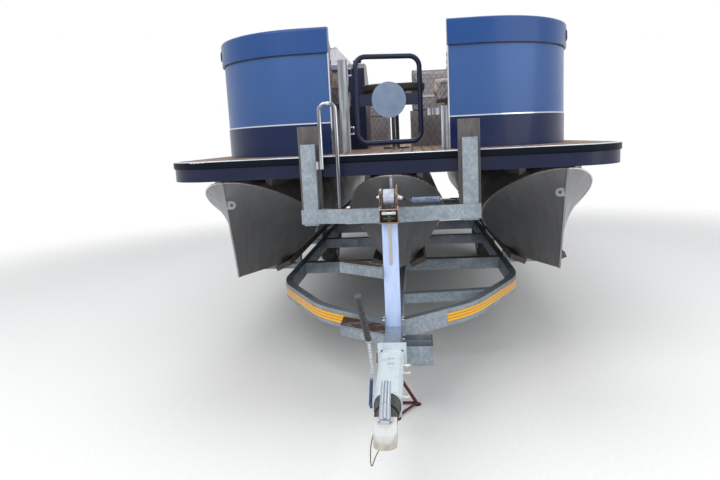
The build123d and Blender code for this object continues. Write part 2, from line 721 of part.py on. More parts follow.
# Table
table = Pos(0, TABLE_Y, TABLE_Z) * extrude(RectangleRounded(TABLE_W, TABLE_W, TABLE_R), TABLE_T)
table = fillet(table.faces().sort_by(Axis.Z)[0].edges(), TABLE_EDGE)
put("table_top", fillet(table.faces().sort_by(Axis.Z)[-1].edges(), TABLE_LIP))
put("table_pedestal", upright(0, TABLE_Y, DECK_TOP, TABLE_Z, PEDESTAL_D / 2)
    + upright(0, TABLE_Y, DECK_TOP, DECK_TOP + PEDESTAL_FOOT_T, PEDESTAL_FOOT_R)
    + upright(0, TABLE_Y, TABLE_Z - PEDESTAL_HEAD_T, TABLE_Z, PEDESTAL_HEAD_R))

# Helm console, wheel and helm seat
console_x0 = -(FENCE_X - FENCE_T - WALL_GAP - CONSOLE_WALL)
kick = CONSOLE_Y1 - KICK_IN
lip = CONSOLE_TOP - DASH_DROP - DASH_LIP
dash = [(CONSOLE_Y0, DECK_TOP), (CONSOLE_Y0, CONSOLE_TOP - BROW[1]), (CONSOLE_Y0 + BROW[0], CONSOLE_TOP),
        (CONSOLE_Y0 + BROW_END, CONSOLE_TOP), (CONSOLE_Y1, CONSOLE_TOP - DASH_DROP), (CONSOLE_Y1, lip),
        (kick, lip - KICK_DROP), (kick, DECK_TOP)]
console = prism_x(dash, console_x0, -CONSOLE_X)
screen_y = CONSOLE_Y0 + SCREEN_Y
screen_x = -CONSOLE_X - SCREEN_SHORT
screen_top = CONSOLE_TOP + SCREEN_H
screen = prism_x([(screen_y, CONSOLE_TOP), (screen_y + SCREEN_T, CONSOLE_TOP),
                  (screen_y + SCREEN_T + SCREEN_LEAN, screen_top), (screen_y + SCREEN_LEAN, screen_top)],
                 console_x0 + SCREEN_IN, screen_x)
corner = prism_y([(screen_x, CONSOLE_TOP + SCREEN_CUT[0]), (screen_x, screen_top),
                  (screen_x - SCREEN_CUT[1], screen_top)], screen_y, screen_y + 2 * SCREEN_LEAN)
put("windscreen", screen - corner)

shaft = Vector(0, cos(radians(WHEEL_TILT)), sin(radians(WHEEL_TILT)))
wheel_plane = Plane(origin=((console_x0 - CONSOLE_X) / 2, CONSOLE_Y1 + WHEEL_OUT, CONSOLE_TOP - WHEEL_DOWN),
                    x_dir=(1, 0, 0), z_dir=shaft)


def on_shaft(z0, z1, r):
    """Round piece on the steering shaft's line."""
    return wheel_plane * (Pos(0, 0, z0) * extrude(Circle(r), z1 - z0))


rim_line = WHEEL_D / 2 - WHEEL_RIM_R
wheel = wheel_plane * Torus(rim_line, WHEEL_RIM_R) + on_shaft(-WHEEL_RIM_R, WHEEL_RIM_R, WHEEL_HUB_R)
spoke_len = rim_line - SPOKE_ROOT
for turn in (90, 210, 330):
    wheel = wheel + wheel_plane * (Rot(0, 0, turn) * Pos(SPOKE_ROOT + spoke_len / 2, 0, 0)
                                   * Box(spoke_len, SPOKE_W, SPOKE_T))
shaft_end = WHEEL_RIM_R / 2
put("steering_wheel", wheel - on_shaft(-WHEEL_RIM_R - 1, shaft_end, SHAFT_R + FIT))
put("helm_console", console + on_shaft(-COLUMN_L, shaft_end - LUG_PLAY, SHAFT_R)
    + on_shaft(-COLUMN_L, -2 * WHEEL_RIM_R, COLUMN_R))

helm_back = HELM_END - BACK_T
put("helm_seat_base", block(console_x0, -HELM_X, HELM_Y, HELM_END, DECK_TOP, SEAT_BASE_TOP))
put("helm_seat_cushions", block(console_x0, -HELM_X, HELM_Y, helm_back - SEAT_GAP, cushion_z, SEAT_TOP),
    block(console_x0, -HELM_X, helm_back, HELM_END, cushion_z, HELM_BACK_TOP))

# Stern bench, each side of the walkway
benches = {"bases": [], "seats": [], "backs": []}
for _, sign in SIDES:
    area = polygon((sign * BENCH_X, BENCH_Y), (sign * BEAM, BENCH_Y), (sign * BEAM, DECK_LEN),
                   (sign * BENCH_X, DECK_LEN))
    benches["bases"].append(raised(seat_wall & area, DECK_TOP, SEAT_BASE_TOP))
    benches["seats"].append(raised(fence_plan(back_in + SEAT_GAP) & area, cushion_z, SEAT_TOP))
    benches["backs"].append(raised((fence_plan(back_out) - fence_plan(back_in)) & area, cushion_z, BACK_TOP))
for name, solids in benches.items():
    put(f"stern_bench_{name}", *solids)

# Motor bracket behind the centre float
pod_y = CENTRE_END + POD_AHEAD
pod_end = DECK_LEN + POD_OUT
pod_top = FASCIA_BOTTOM - POD_GAP
pod_step = DECK_LEN - inside_fascia
tail_y, tail_z = pod_end - POD_TAIL[0], POD_BOTTOM + POD_TAIL[1]
pod = prism_x([(pod_y, BEAM_BOTTOM), (pod_y, POD_BOTTOM), (pod_end - POD_RAKE[0], POD_BOTTOM + POD_RAKE[1]),
               (tail_y, tail_z), (pod_end, pod_top), (pod_step, pod_top), (pod_step, BEAM_BOTTOM)],
              -POD_W / 2, POD_W / 2)
transom = prism_x([(pod_end, pod_top), (tail_y, tail_z), (tail_y + TRANSOM_T, tail_z),
                   (pod_end + TRANSOM_T, pod_top)], -TRANSOM_W / 2, TRANSOM_W / 2)
put("motor_bracket", pod + transom)

# Trailer chassis
edge = DRAWBAR_W / 2
spine = block(-edge, edge, DRAWBAR_Y, CHASSIS_END, FRAME_BOTTOM, FRAME_TOP)
bore = block(FLANGE_T - edge, edge - FLANGE_T, DRAWBAR_Y - 1, CHASSIS_END + 1, FRAME_BOTTOM + FLANGE_T,
             FRAME_TOP - FLANGE_T)
put("drawbar", spine - bore)

rail_y0 = BOW_SHOULDER_Y + BOW_TAIL
fronts = []
for _, sign in SIDES:
    path = FilletPolyline(*[(sign * x, y) for x, y in (BOW_NOSE, BOW_ELBOW, (RAIL_X, BOW_SHOULDER_Y),
                                                       (RAIL_X, rail_y0))], radius=BOW_R)
    fronts.append(raised(trace(path, line_width=RAIL_W), FRAME_BOTTOM, FRAME_TOP) - spine)
put("front_frame", *fronts)

inner_x, outer_x = RAIL_X - RAIL_W / 2, RAIL_X + RAIL_W / 2
cross_bottom = FRAME_BOTTOM + CROSS_UP
rails, crosses = [], []
for _, sign in SIDES:
    rail = span(sign * inner_x, sign * outer_x, rail_y0, CHASSIS_END, FRAME_BOTTOM, FRAME_TOP)
    rails.append(rail - span(sign * (inner_x + FLANGE_T), sign * (outer_x + 1), rail_y0 - 1, CHASSIS_END + 1,
                             FRAME_BOTTOM + FLANGE_T, FRAME_TOP - FLANGE_T))
    for y in CROSS_YS:
        tube = span(sign * edge, sign * inner_x, y, y + CROSS_W, cross_bottom, FRAME_TOP)
        crosses.append(tube - span(sign * (edge - 1), sign * (inner_x + 1), y + FLANGE_T,
                                   y + CROSS_W - FLANGE_T, cross_bottom + FLANGE_T, FRAME_TOP - FLANGE_T))
stay_end = STAY_Y + STAY_AFT
stay = prism_z([(edge, STAY_Y), (edge, STAY_Y + STAY_W), (STAY_X, stay_end), (STAY_X, stay_end - STAY_W)],
               FRAME_TOP - STAY_H, FRAME_TOP)
put("chassis_rails", *rails)
put("cross_members", *crosses, stay - fronts[1])

# Bunks and their brackets
tilt = radians(BUNK_TILT)
reach = TUBE_R + BUNK_GAP + BUNK_T / 2
bunk_z = TUBE_Z - reach * cos(tilt)
foot_x = (reach + BRACKET_IN) * sin(tilt)
planks, brackets = [], []
for _, x, _, _ in FLOATS:
    pair = []
    for side in (-1, 1):
        place = Pos(x + side * reach * sin(tilt), (BUNK_Y + BUNK_END) / 2, bunk_z)
        pair.append(place * Rot(0, -side * BUNK_TILT, 0) * Box(BUNK_W, BUNK_END - BUNK_Y, BUNK_T))
    planks += pair
    for y in CROSS_YS:
        posts = []
        for side, plank in zip((-1, 1), pair):
            cx = x + side * foot_x
            post = block(cx - BRACKET_W / 2, cx + BRACKET_W / 2, y + BRACKET_IN, y + CROSS_W - BRACKET_IN,
                         FRAME_TOP, bunk_z)
            posts.append(post - plank)
        if x:
            side = x / abs(x)
            outrigger = span(side * outer_x, x + side * TUBE_ARM, y, y + CROSS_W, FRAME_TOP - OUTRIGGER_T,
                             FRAME_TOP)
            posts = [outrigger + posts[0] + posts[1]]
        brackets += posts
put("bunks", *planks)
put("bunk_brackets", *brackets)

# Axle, wheels and mudguards
beam_y = AXLE_Y + ARM_LEN
beam_top = FRAME_BOTTOM - AXLE_DOWN
arm_x = RAIL_X + ARM_IN
arm_out = arm_x + ARM_T
axle = block(-arm_out, arm_out, beam_y - AXLE_H / 2, beam_y + AXLE_H / 2, beam_top - AXLE_H, beam_top)
outline = make_hull([*(Pos(AXLE_Y, AXLE_Z) * Circle(ARM_R)).edges(),
                     *(Pos(beam_y, beam_top - AXLE_H / 2) * Circle(ARM_R)).edges()])
for _, sign in SIDES:
    pad = span(sign * inner_x, sign * outer_x, beam_y - PAD_L / 2, beam_y + PAD_L / 2, beam_top, FRAME_BOTTOM)
    arm_side = Plane(origin=(sign * arm_x, 0, 0), x_dir=(0, 1, 0), z_dir=(1, 0, 0))
    stub = along_x(AXLE_Y, AXLE_Z, *sorted((sign * arm_x, sign * (TYRE_X + STUB_OUT))), STUB_D / 2)
    axle = axle + pad + arm_side * extrude(outline, sign * ARM_T) + stub
put("axle", axle)

r_out, w = TYRE_D / 2, TYRE_W / 2
r_seat, r_lip, r_well = RIM_D / 2 - BEAD, RIM_D / 2 + RIM_LIP, RIM_D / 2 - BEAD - DISC_IN
h, r_hub, r_bore = RIM_W / 2, HUB_D / 2, STUB_D / 2 + FIT
# (place along the axle, radius), the wheel's outer side at the positive end
tyre_profile = [(BEAD_IN - w, r_seat), (-w, r_out - SHOULDER_R), (SHOULDER_W - w, r_out),
                (w - SHOULDER_W, r_out), (w, r_out - SHOULDER_R), (w - BEAD_IN, r_seat)]
disc = [(RIM_T - h, r_well), (-h - RIM_T, r_seat - RIM_LIP), (-h - RIM_T, r_lip), (-h, r_lip), (-h, r_seat),
        (h, r_seat), (h, r_lip), (h + RIM_T, r_lip), (h + RIM_T, r_seat - RIM_LIP), (h - RIM_T, r_well)]
hub = [(40, r_well), (18, r_hub), (HUB_CAP, r_hub - 18), (HUB_CAP, 0), (STUB_OUT + 8, 0),
       (STUB_OUT + 8, r_bore), (-HUB_BACK, r_bore), (-HUB_BACK, r_hub), (6, r_hub), (30, r_well)]
for label, sign in SIDES:
    place = Location((sign * TYRE_X, AXLE_Y, AXLE_Z))
    put(f"tyre_{label}", place * revolve(polygon(*tyre_profile), Axis.X))
    put(f"rim_{label}", place * revolve(polygon(*[(sign * a, r) for a, r in disc + hub]), Axis.X))

guards = []
guard_top = TYRE_D + GUARD_GAP
g0, g1 = AXLE_Y - r_out - GUARD_RUN, AXLE_Y + r_out + GUARD_RUN
x0, x1 = TYRE_X - w - GUARD_IN, TYRE_X + w + GUARD_OUT


def guard_arch(inset, top):
    """Mudguard's side outline: flat top with a slope at each end."""
    low = guard_top - GUARD_DROP
    slope = GUARD_SLOPE
    return [(g0 + inset, low), (g0 + slope, top), (g1 - slope, top), (g1 - inset, low)]


for _, sign in SIDES:
    outer = guard_arch(0, guard_top + GUARD_T)
    inner = guard_arch(GUARD_IN, guard_top)
    guard = prism_x(outer + inner[::-1], *sorted((sign * x0, sign * x1)))
    for y in (g0 + GUARD_SLOPE + GUARD_IN, g1 - GUARD_SLOPE - GUARD_IN - GUARD_STRAP):
        far = y + GUARD_STRAP
        guard = guard + span(sign * outer_x, sign * (x1 - GUARD_OUT), y, far, guard_top - GUARD_T, guard_top)
        guard = guard + span(sign * outer_x, sign * (outer_x + GUARD_T), y, far, FRAME_TOP - GUARD_STRAP,
                             guard_top)
    guards.append(guard)
put("mudguards", *guards)


# Winch post, cross bar and bow stops
def mast(inset, z0, z1):
    """Leaning post, its walls brought in by inset."""
    def centre(z):
        return MAST_Y + MAST_LEAN * (z - FRAME_TOP) / (MAST_TOP - FRAME_TOP)
    a = MAST_W / 2 - inset
    sides = [(centre(z0) - a, z0), (centre(z0) + a, z0), (centre(z1) + a, z1), (centre(z1) - a, z1)]
    return prism_x(sides, -a, a)


mast_half = MAST_W / 2
post_full = mast(0, FRAME_TOP, MAST_TOP)
put("winch_post", post_full - mast(MAST_T, FRAME_TOP - 1, MAST_TOP - MAST_T))

yoke_y = MAST_Y + MAST_LEAN + mast_half
stop_face = -STOP_GAP - STOP_T
tab_y = stop_face - CHANNEL_D - YOKE_T
tab_x = STAND_X - CHANNEL_W / 2
yoke_line = [(-YOKE_X, tab_y), (-tab_x, tab_y), (-mast_half, yoke_y), (mast_half, yoke_y), (tab_x, tab_y),
             (YOKE_X, tab_y)]
yoke = prism_z(yoke_line + [(x, y + YOKE_T) for x, y in reversed(yoke_line)], MAST_TOP - YOKE_H, MAST_TOP)
ledge_x = tab_x - YOKE_SHORT
ledge_y = yoke_y + (tab_y - yoke_y) * (ledge_x - mast_half) / (tab_x - mast_half)
ledge = [(-ledge_x, ledge_y), (-mast_half, yoke_y), (mast_half, yoke_y), (ledge_x, ledge_y)]
for z in (MAST_TOP - YOKE_T, MAST_TOP - YOKE_H):
    yoke = yoke + prism_z(ledge + [(x, y + YOKE_DEPTH) for x, y in reversed(ledge)], z, z + YOKE_T)
yoke = yoke - post_full

channels, timbers = [], []
for _, sign in SIDES:
    x, c, t = sign * STAND_X, CHANNEL_W / 2, CHANNEL_T
    timbers.append(block(x - STOP_W / 2, x + STOP_W / 2, stop_face, -STOP_GAP, STOP_BOTTOM, STOP_TOP) - yoke)
    up = block(x - c, x + c, stop_face - CHANNEL_D, stop_face, STOP_BOTTOM, CHANNEL_TOP)
    channels.append(up - block(x - c + t, x + c - t, stop_face - CHANNEL_D + t, stop_face + 1,
                               STOP_BOTTOM - 1, CHANNEL_TOP + 1))
put("bow_stop_frame", yoke.fuse(*channels))
put("stop_timbers", *timbers)

# Handrail
rail_r = HANDRAIL_D / 2
leg_x0 = -(STAND_X - STOP_W / 2) + rail_r + HANDRAIL_GAP
leg_x1 = leg_x0 + HANDRAIL_W
leg_y = ledge_y - CLAMP_T / 2
foot_z = CHANNEL_TOP - HANDRAIL_DOWN
handrail = bent_tube([(leg_x0, leg_y, foot_z), (leg_x0, leg_y, HANDRAIL_TOP - rail_r),
                      (leg_x1, leg_y, HANDRAIL_TOP - rail_r), (leg_x1, leg_y, MAST_TOP)], HANDRAIL_R, rail_r)
clamp = block(-tab_x, leg_x0, leg_y - CLAMP_T / 2, leg_y + CLAMP_T / 2, foot_z, foot_z + CLAMP_H)
put("handrail", (handrail + clamp) - yoke)

# Winch
winch_y = MAST_Y + MAST_LEAN
drum_z = MAST_TOP + DRUM_UP
wx, wy, shaft_r = WINCH_W / 2, WINCH_D / 2, DRUM_R * 0.3
winch = block(-wx, wx, winch_y - wy, winch_y + wy, MAST_TOP, MAST_TOP + WINCH_T)
cheek = [(winch_y - wy, MAST_TOP), (winch_y + wy, MAST_TOP), (winch_y + wy, drum_z),
         (winch_y + wy / 2, drum_z + DRUM_R + 8), (winch_y - wy * 0.7, drum_z + DRUM_R + 8),
         (winch_y - wy, drum_z + DRUM_R / 2)]
for x in (-wx, wx - WINCH_T):
    winch = winch + prism_x(cheek, x, x + WINCH_T)
put("winch_frame", winch + along_x(winch_y, drum_z, -wx, wx, shaft_r))

eye_y = stem_y(STEM_Y + STEM_BACK, EYE_Z) - EYE_OUT
hook_y = eye_y - 2 * EYE_R
a = DRUM_W / 2
roll = along_x(winch_y, drum_z, -a, a, DRUM_R) - along_x(winch_y, drum_z, -a - 1, a + 1, shaft_r)
strap_z = drum_z + DRUM_R - 2 * STRAP_T
strap = prism_x([(winch_y, strap_z + STRAP_T), (hook_y, EYE_Z + STRAP_T / 2), (hook_y, EYE_Z - STRAP_T / 2),
                 (winch_y, strap_z)], -STRAP_W / 2, STRAP_W / 2)
b = STEM_BAR / 2 + 1
hook = along_x(hook_y, EYE_Z, -a, a, 2 * STRAP_T) + along_x(eye_y, EYE_Z, -2 * b, 2 * b, STEM_BAR / 2)
for x in (-2 * b, b):
    hook = hook + block(x, x + b, hook_y, eye_y + STEM_BAR / 2, EYE_Z - STEM_BAR / 2, EYE_Z + STEM_BAR / 2)
put("winch_strap", roll + strap + hook)

crank_y, crank_z = winch_y - 2 * shaft_r, drum_z - 6
arm_x, grip_y = wx + 36, crank_y - 120
crank_arm = [(arm_x - 6, crank_y + 12), (arm_x - 6, crank_y - 12), (arm_x + 44, grip_y - 10),
             (arm_x + 60, grip_y - 2), (arm_x + 10, crank_y + 12)]
crank = (along_x(crank_y, crank_z, wx, arm_x, CRANK_R)
         + prism_z(crank_arm, crank_z - WINCH_T, crank_z + WINCH_T)
         + along_x(grip_y, crank_z, arm_x + 44, arm_x + 44 + GRIP_L, GRIP_R))
put("winch_crank", crank)

# Steps on the left of the drawbar, each with an upturned front edge
treads = []
for y_near, y_far, up, depth in STEPS:
    top = FRAME_TOP + up
    low = top - STEP_H

    def strip(y0, y1, z0, z1):
        plan = [(-edge, y_near + y0), (-STEP_X, y_far + y0), (-STEP_X, y_far + y1), (-edge, y_near + y1)]
        return prism_z(plan, z0, z1)

    step = strip(0, STEP_T, low, top) + strip(STEP_T, depth, low, top + STEP_T)
    treads.append(step - post_full - spine)

# Open box with two cells on the right of the drawbar
box_top = FRAME_TOP - SIDE_BOX_DOWN
side_box = block(edge, SIDE_BOX_X, SIDE_BOX_Y, SIDE_BOX_Y + SIDE_BOX_L, box_top - SIDE_BOX_H, box_top)
cell = (SIDE_BOX_L - SIDE_BOX_T) / 2
for y in (SIDE_BOX_Y, SIDE_BOX_Y + cell):
    side_box = side_box - block(edge + SIDE_BOX_T, SIDE_BOX_X - SIDE_BOX_T, y + SIDE_BOX_T, y + cell,
                                box_top - SIDE_BOX_H + SIDE_BOX_T, box_top + 1)
put("drawbar_fittings", *treads, side_box)

# Coupling
z0, z1 = COUPLER_Z - HOUSING_LOW, COUPLER_Z + HOUSING_HIGH
half_w = HOUSING_W / 2
flange_y = DRAWBAR_Y - COUPLER_FLANGE_T
housing = block(-half_w, half_w, HOUSING_Y, flange_y, z0, z1)
housing = chamfer(housing.edges().filter_by(Axis.Y), HOUSING_EDGE)
housing = housing + block(-COUPLER_FLANGE_W / 2, COUPLER_FLANGE_W / 2, flange_y, DRAWBAR_Y,
                          FRAME_BOTTOM - COUPLER_FLANGE_DOWN, FRAME_TOP)
for y in SLOT_YS:
    housing = housing - block(-SLOT_W / 2, SLOT_W / 2, y, y + SLOT_L, z1 - SLOT_DEEP, z1 + 1)
lever_y, lever_z = HOUSING_Y + 44, COUPLER_Z - 20
lever_x = -half_w - LEVER_R
lever_plate = block(lever_x, -half_w, lever_y - 20, lever_y + 70, lever_z - 30, lever_z + 30)
put("coupling_housing", housing + lever_plate)

rib = (HOUSING_Y - BELLOWS_Y) / N_RIBS
folds = [(0, BELLOWS_Y)]
for i in range(N_RIBS):
    folds += [(BELLOWS_R - RIB_H, BELLOWS_Y + i * rib), (BELLOWS_R, BELLOWS_Y + (i + 0.5) * rib)]
folds += [(BELLOWS_R - RIB_H, HOUSING_Y), (0, HOUSING_Y)]
put("coupling_bellows", Pos(0, 0, COUPLER_Z) * revolve(polygon(*folds), Axis.Y))

ball = (0, HEAD_Y + BALL_Y, COUPLER_Z - BALL_DOWN)
side_line = [(BELLOWS_Y, COUPLER_Z - 36), (BELLOWS_Y, COUPLER_Z + 36), (HEAD_Y + 60, COUPLER_Z + 20),
             (HEAD_Y + 14, COUPLER_Z + 6), (HEAD_Y, COUPLER_Z - 18), (HEAD_Y, COUPLER_Z - 44),
             (HEAD_Y + 100, COUPLER_Z - 44)]
head = prism_x(side_line, -HEAD_W / 2, HEAD_W / 2)
head = fillet(head.edges().filter_by(Axis.X).sort_by(Axis.Z)[-4:], HEAD_R)
head_l = BELLOWS_Y - HEAD_Y + 2 * HEAD_CORNER
head = head & (Pos(0, HEAD_Y + head_l / 2, COUPLER_Z - HOUSING_LOW)
               * extrude(RectangleRounded(HEAD_W, head_l, HEAD_CORNER), HOUSING_LOW + HOUSING_HIGH))
head = (head - Pos(*ball) * Sphere(BALL_R + BALL_PLAY)
        - upright(ball[0], ball[1], ball[2] - 2 * BALL_R, ball[2], BALL_R + BALL_PLAY))
# side outline of the handle, behind the head's rear face and above the coupling tube
handle_line = [(-30, 24), (20, 58), (140, 92), (138, 104), (12, 72), (-48, 40), (-48, 18)]
handle = prism_x([(BELLOWS_Y + y, COUPLER_Z + z) for y, z in handle_line], -HANDLE_W / 2, HANDLE_W / 2)
put("coupling_head", head + handle)

knee = (lever_x + 2, lever_y + 14, FRAME_TOP + 60)
neck = (lever_x - 8, lever_y + 30, FRAME_TOP + 168)
tip = (lever_x - 30, lever_y - 88, FRAME_TOP + 380)
lever = along_x(lever_y, lever_z, lever_x - 12, lever_x, 12)
lever = lever + rod((lever_x - LEVER_R - LEVER_GAP, lever_y, lever_z), knee, LEVER_R)
lever = lever + Pos(*knee) * Sphere(LEVER_R) + rod(knee, neck, LEVER_R)
put("brake_lever", lever + Pos(*neck) * Sphere(LEVER_GRIP_R) + rod(neck, tip, LEVER_GRIP_R))

# Breakaway cable: down from the brake lever's plate, forward beside the bellows, round and back
# under the coupling, up to the housing
CABLE = ((-57, -985, 380), (-57, -985, 352), (-57, -1006, 334), (-57, -1044, 330), (-57, -1090, 336),
         (-58, -1138, 343), (-59, -1186, 342), (-58, -1226, 331), (-57, -1242, 304), (-55, -1222, 282),
         (-52, -1180, 274), (-49, -1130, 268), (-45, -1080, 257), (-41, -1032, 243), (-38, -988, 232),
         (-34, -950, 238), (-31, -930, 266), (-30, -920, 303), (-30, -918, 340), (-30, -918, 375))


def corner_radii(points):
    """Arc of each corner: 0.45 of its shorter run over the tangent of half its turn."""
    radii = []
    for p, q, r in zip(points, points[1:], points[2:]):
        into, out = Vector(*q) - Vector(*p), Vector(*r) - Vector(*q)
        turn = into.get_angle(out)
        radii.append(0.45 * min(into.length, out.length) / tan(radians(turn) / 2))
    return radii


radii = corner_radii(CABLE)
print("cable radii (mm):", [round(r, 1) for r in radii])
cable_path = FilletPolyline(*CABLE, radius=radii)
cable = sweep(Plane(origin=cable_path @ 0, z_dir=cable_path % 0) * Circle(CABLE_D / 2), cable_path)
put("breakaway_cable", cable)

# Parking stand under the drawbar
plate = STAND_D + 4
plate_z = FRAME_BOTTOM - FOOT_T
stand = (upright(0, STAND_Y, STAND_UP, plate_z, STAND_D / 2)
         + block(-plate, plate, STAND_Y - plate / 2, STAND_Y + plate / 2, plate_z, FRAME_BOTTOM))
feet = ((106, STAND_Y + 60), (-106, STAND_Y + 60), (0, STAND_Y - 112))
for i, (x, y) in enumerate(feet):
    stand = stand + upright(x, y, 0, FOOT_T, FOOT_R) + rod((x, y, FOOT_T - 2), (0, STAND_Y, STAND_KNEE), 9)
    x_next, y_next = feet[(i + 1) % 3]
    stand = stand + rod((x, y, 2 * LEVER_R), (x_next, y_next, 2 * LEVER_R), LEVER_R)
put("parking_stand", stand)

# Light board at the rear
board_y, lamp_y = CHASSIS_END, CHASSIS_END + BOARD_T
lamp_top = FRAME_TOP + LAMP_UP
lights = block(-LIGHT_X, LIGHT_X, board_y, lamp_y, FRAME_TOP - BOARD_H, FRAME_TOP)
for _, sign in SIDES:
    lamp_x = LIGHT_X - LAMP_EDGE
    lights = lights + span(sign * lamp_x, sign * (lamp_x - LAMP_W), lamp_y, lamp_y + LAMP_D,
                           lamp_top - LAMP_H, lamp_top)
plate_top = FRAME_TOP - PLATE_DOWN
lights = lights + block(-PLATE_W / 2, PLATE_W / 2, lamp_y, lamp_y + PLATE_T, plate_top - PLATE_H, plate_top)
put("light_board", lights)

# Origin: middle of the footprint, on the ground
boxes = [s.bounding_box() for solids in parts.values() for s in solids]
y_mid = (min(b.min.Y for b in boxes) + max(b.max.Y for b in boxes)) / 2
print("origin behind the deck's front edge (mm):", round(y_mid, 3))
for name, solids in parts.items():
    solids = [Pos(0, -y_mid, 0) * s for s in solids]
    export_step(Compound(children=solids) if len(solids) > 1 else solids[0], f"parts/{name}.step")
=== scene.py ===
from math import atan2, ceil, cos, hypot, pi, radians, sin

import bmesh
import bpy
from mathutils import Matrix, Vector, noise
from mathutils.kdtree import KDTree


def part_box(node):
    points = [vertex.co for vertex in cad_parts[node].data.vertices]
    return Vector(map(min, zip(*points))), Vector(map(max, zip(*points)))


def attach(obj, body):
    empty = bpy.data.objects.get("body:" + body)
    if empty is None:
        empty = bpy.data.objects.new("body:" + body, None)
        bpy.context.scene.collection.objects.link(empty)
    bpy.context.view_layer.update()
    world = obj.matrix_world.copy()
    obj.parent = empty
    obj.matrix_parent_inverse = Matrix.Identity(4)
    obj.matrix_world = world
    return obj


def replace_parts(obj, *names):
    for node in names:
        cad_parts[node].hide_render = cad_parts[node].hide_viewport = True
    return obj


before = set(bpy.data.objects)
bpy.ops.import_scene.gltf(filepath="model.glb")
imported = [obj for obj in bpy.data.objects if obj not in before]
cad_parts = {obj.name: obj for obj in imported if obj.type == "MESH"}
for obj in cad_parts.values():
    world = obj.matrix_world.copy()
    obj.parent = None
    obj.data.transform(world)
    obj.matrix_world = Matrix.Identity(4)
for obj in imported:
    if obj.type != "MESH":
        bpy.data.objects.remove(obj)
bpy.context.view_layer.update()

scene = bpy.context.scene
scene.view_settings.view_transform = "Standard"

# Places and sizes that the pieces share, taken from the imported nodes
fence_low, fence_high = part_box("fence_band_port")
tyre_low, tyre_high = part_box("tyre_port")
DECK_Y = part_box("deck_nosing")[0][1]
DECK_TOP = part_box("deck_panel")[1][2]
FENCE_X, BAND_TOP = fence_high[0], fence_high[2]
FENCE_Y, FENCE_END = fence_low[1] - DECK_Y, fence_high[1] - DECK_Y
PANEL_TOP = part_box("fence_panel_port")[1][2]
FRAME_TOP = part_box("drawbar")[1][2]
MAST_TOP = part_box("winch_post")[1][2]
TUBE_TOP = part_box("riser_rails")[1][2] - 0.022
TYRE_R = (tyre_high[2] - tyre_low[2]) / 2
TYRE_X = (tyre_low[0] + tyre_high[0]) / 2
AXLE_Y = (tyre_low[1] + tyre_high[1]) / 2 - DECK_Y
FENCE_R_BOW = 0.600
FENCE_R_STERN = 0.260
GATE_HALF = 0.340      # half of the gap for each gate
STERN_HALF = 0.350
TUBE_R = 0.330
TUBE_X = 0.955
TUBE_Z = TUBE_TOP - TUBE_R
MAST_Y = -0.190        # top of the winch post
COUPLER_Z = 0.430
SIDES = (("starboard", -1), ("port", 1))


def at(x, y, z):
    """A point in the shared frame, its length measured from the deck's front edge."""
    return Vector((x, y + DECK_Y, z))


def linked(name, data):
    """A new object in the scene."""
    thing = bpy.data.objects.new(name, data)
    scene.collection.objects.link(thing)
    return thing


def meshed(name, bm):
    """A mesh made from a bmesh, which is freed."""
    mesh = bpy.data.meshes.new(name)
    bm.to_mesh(mesh)
    bm.free()
    return mesh


def opened(mesh):
    """A bmesh made from a mesh, which is removed."""
    bm = bmesh.new()
    bm.from_mesh(mesh)
    bpy.data.meshes.remove(mesh)
    return bm


def baked(piece):
    """An object's mesh with its modifiers applied. The object is removed."""
    graph = bpy.context.evaluated_depsgraph_get()
    mesh = bpy.data.meshes.new_from_object(piece.evaluated_get(graph), depsgraph=graph)
    bpy.data.objects.remove(piece)
    return mesh


# Camera: fitted to the photograph
CAMERA_AT = at(0.1369, -3.2554, 1.4499)
CAMERA_YAW, CAMERA_PITCH, CAMERA_ROLL = 0.0953, 0.1630, 0.0495
LENS = 30.5


def make_camera():
    data = bpy.data.cameras.new("camera")
    data.lens, data.sensor_width = LENS, 36
    data.clip_start, data.clip_end = 0.05, 200
    level = cos(CAMERA_PITCH)
    ahead = Vector((-sin(CAMERA_YAW) * level, cos(CAMERA_YAW) * level, -sin(CAMERA_PITCH)))
    right = Vector((cos(CAMERA_YAW), sin(CAMERA_YAW), 0))
    down = ahead.cross(right)
    turn = Matrix((right * cos(CAMERA_ROLL) + down * sin(CAMERA_ROLL),
                   right * sin(CAMERA_ROLL) - down * cos(CAMERA_ROLL), -ahead)).transposed()
    camera = linked("camera", data)
    camera.matrix_world = Matrix.Translation(CAMERA_AT) @ turn.to_4x4()
    scene.camera = camera


# Light, background and floor
FLOOR_R = 7.5
FLOOR_FADE = 3.5       # width over which the floor fades out to the background
FLOOR_TONE, FLOOR_DARK, FLOOR_PALE = (0.80, 0.80, 0.79), (0.78, 0.78, 0.77), (0.82, 0.82, 0.81)
LAMPS = (("key", (-3.5, -7.5, 6.5), (0, -2, 1), 470), ("fill", (5.5, -5.5, 4), (0, -1, 1), 230),
         ("top", (0, 1, 8), (0, 1, 0), 270))
LAMP_SIZE = 7


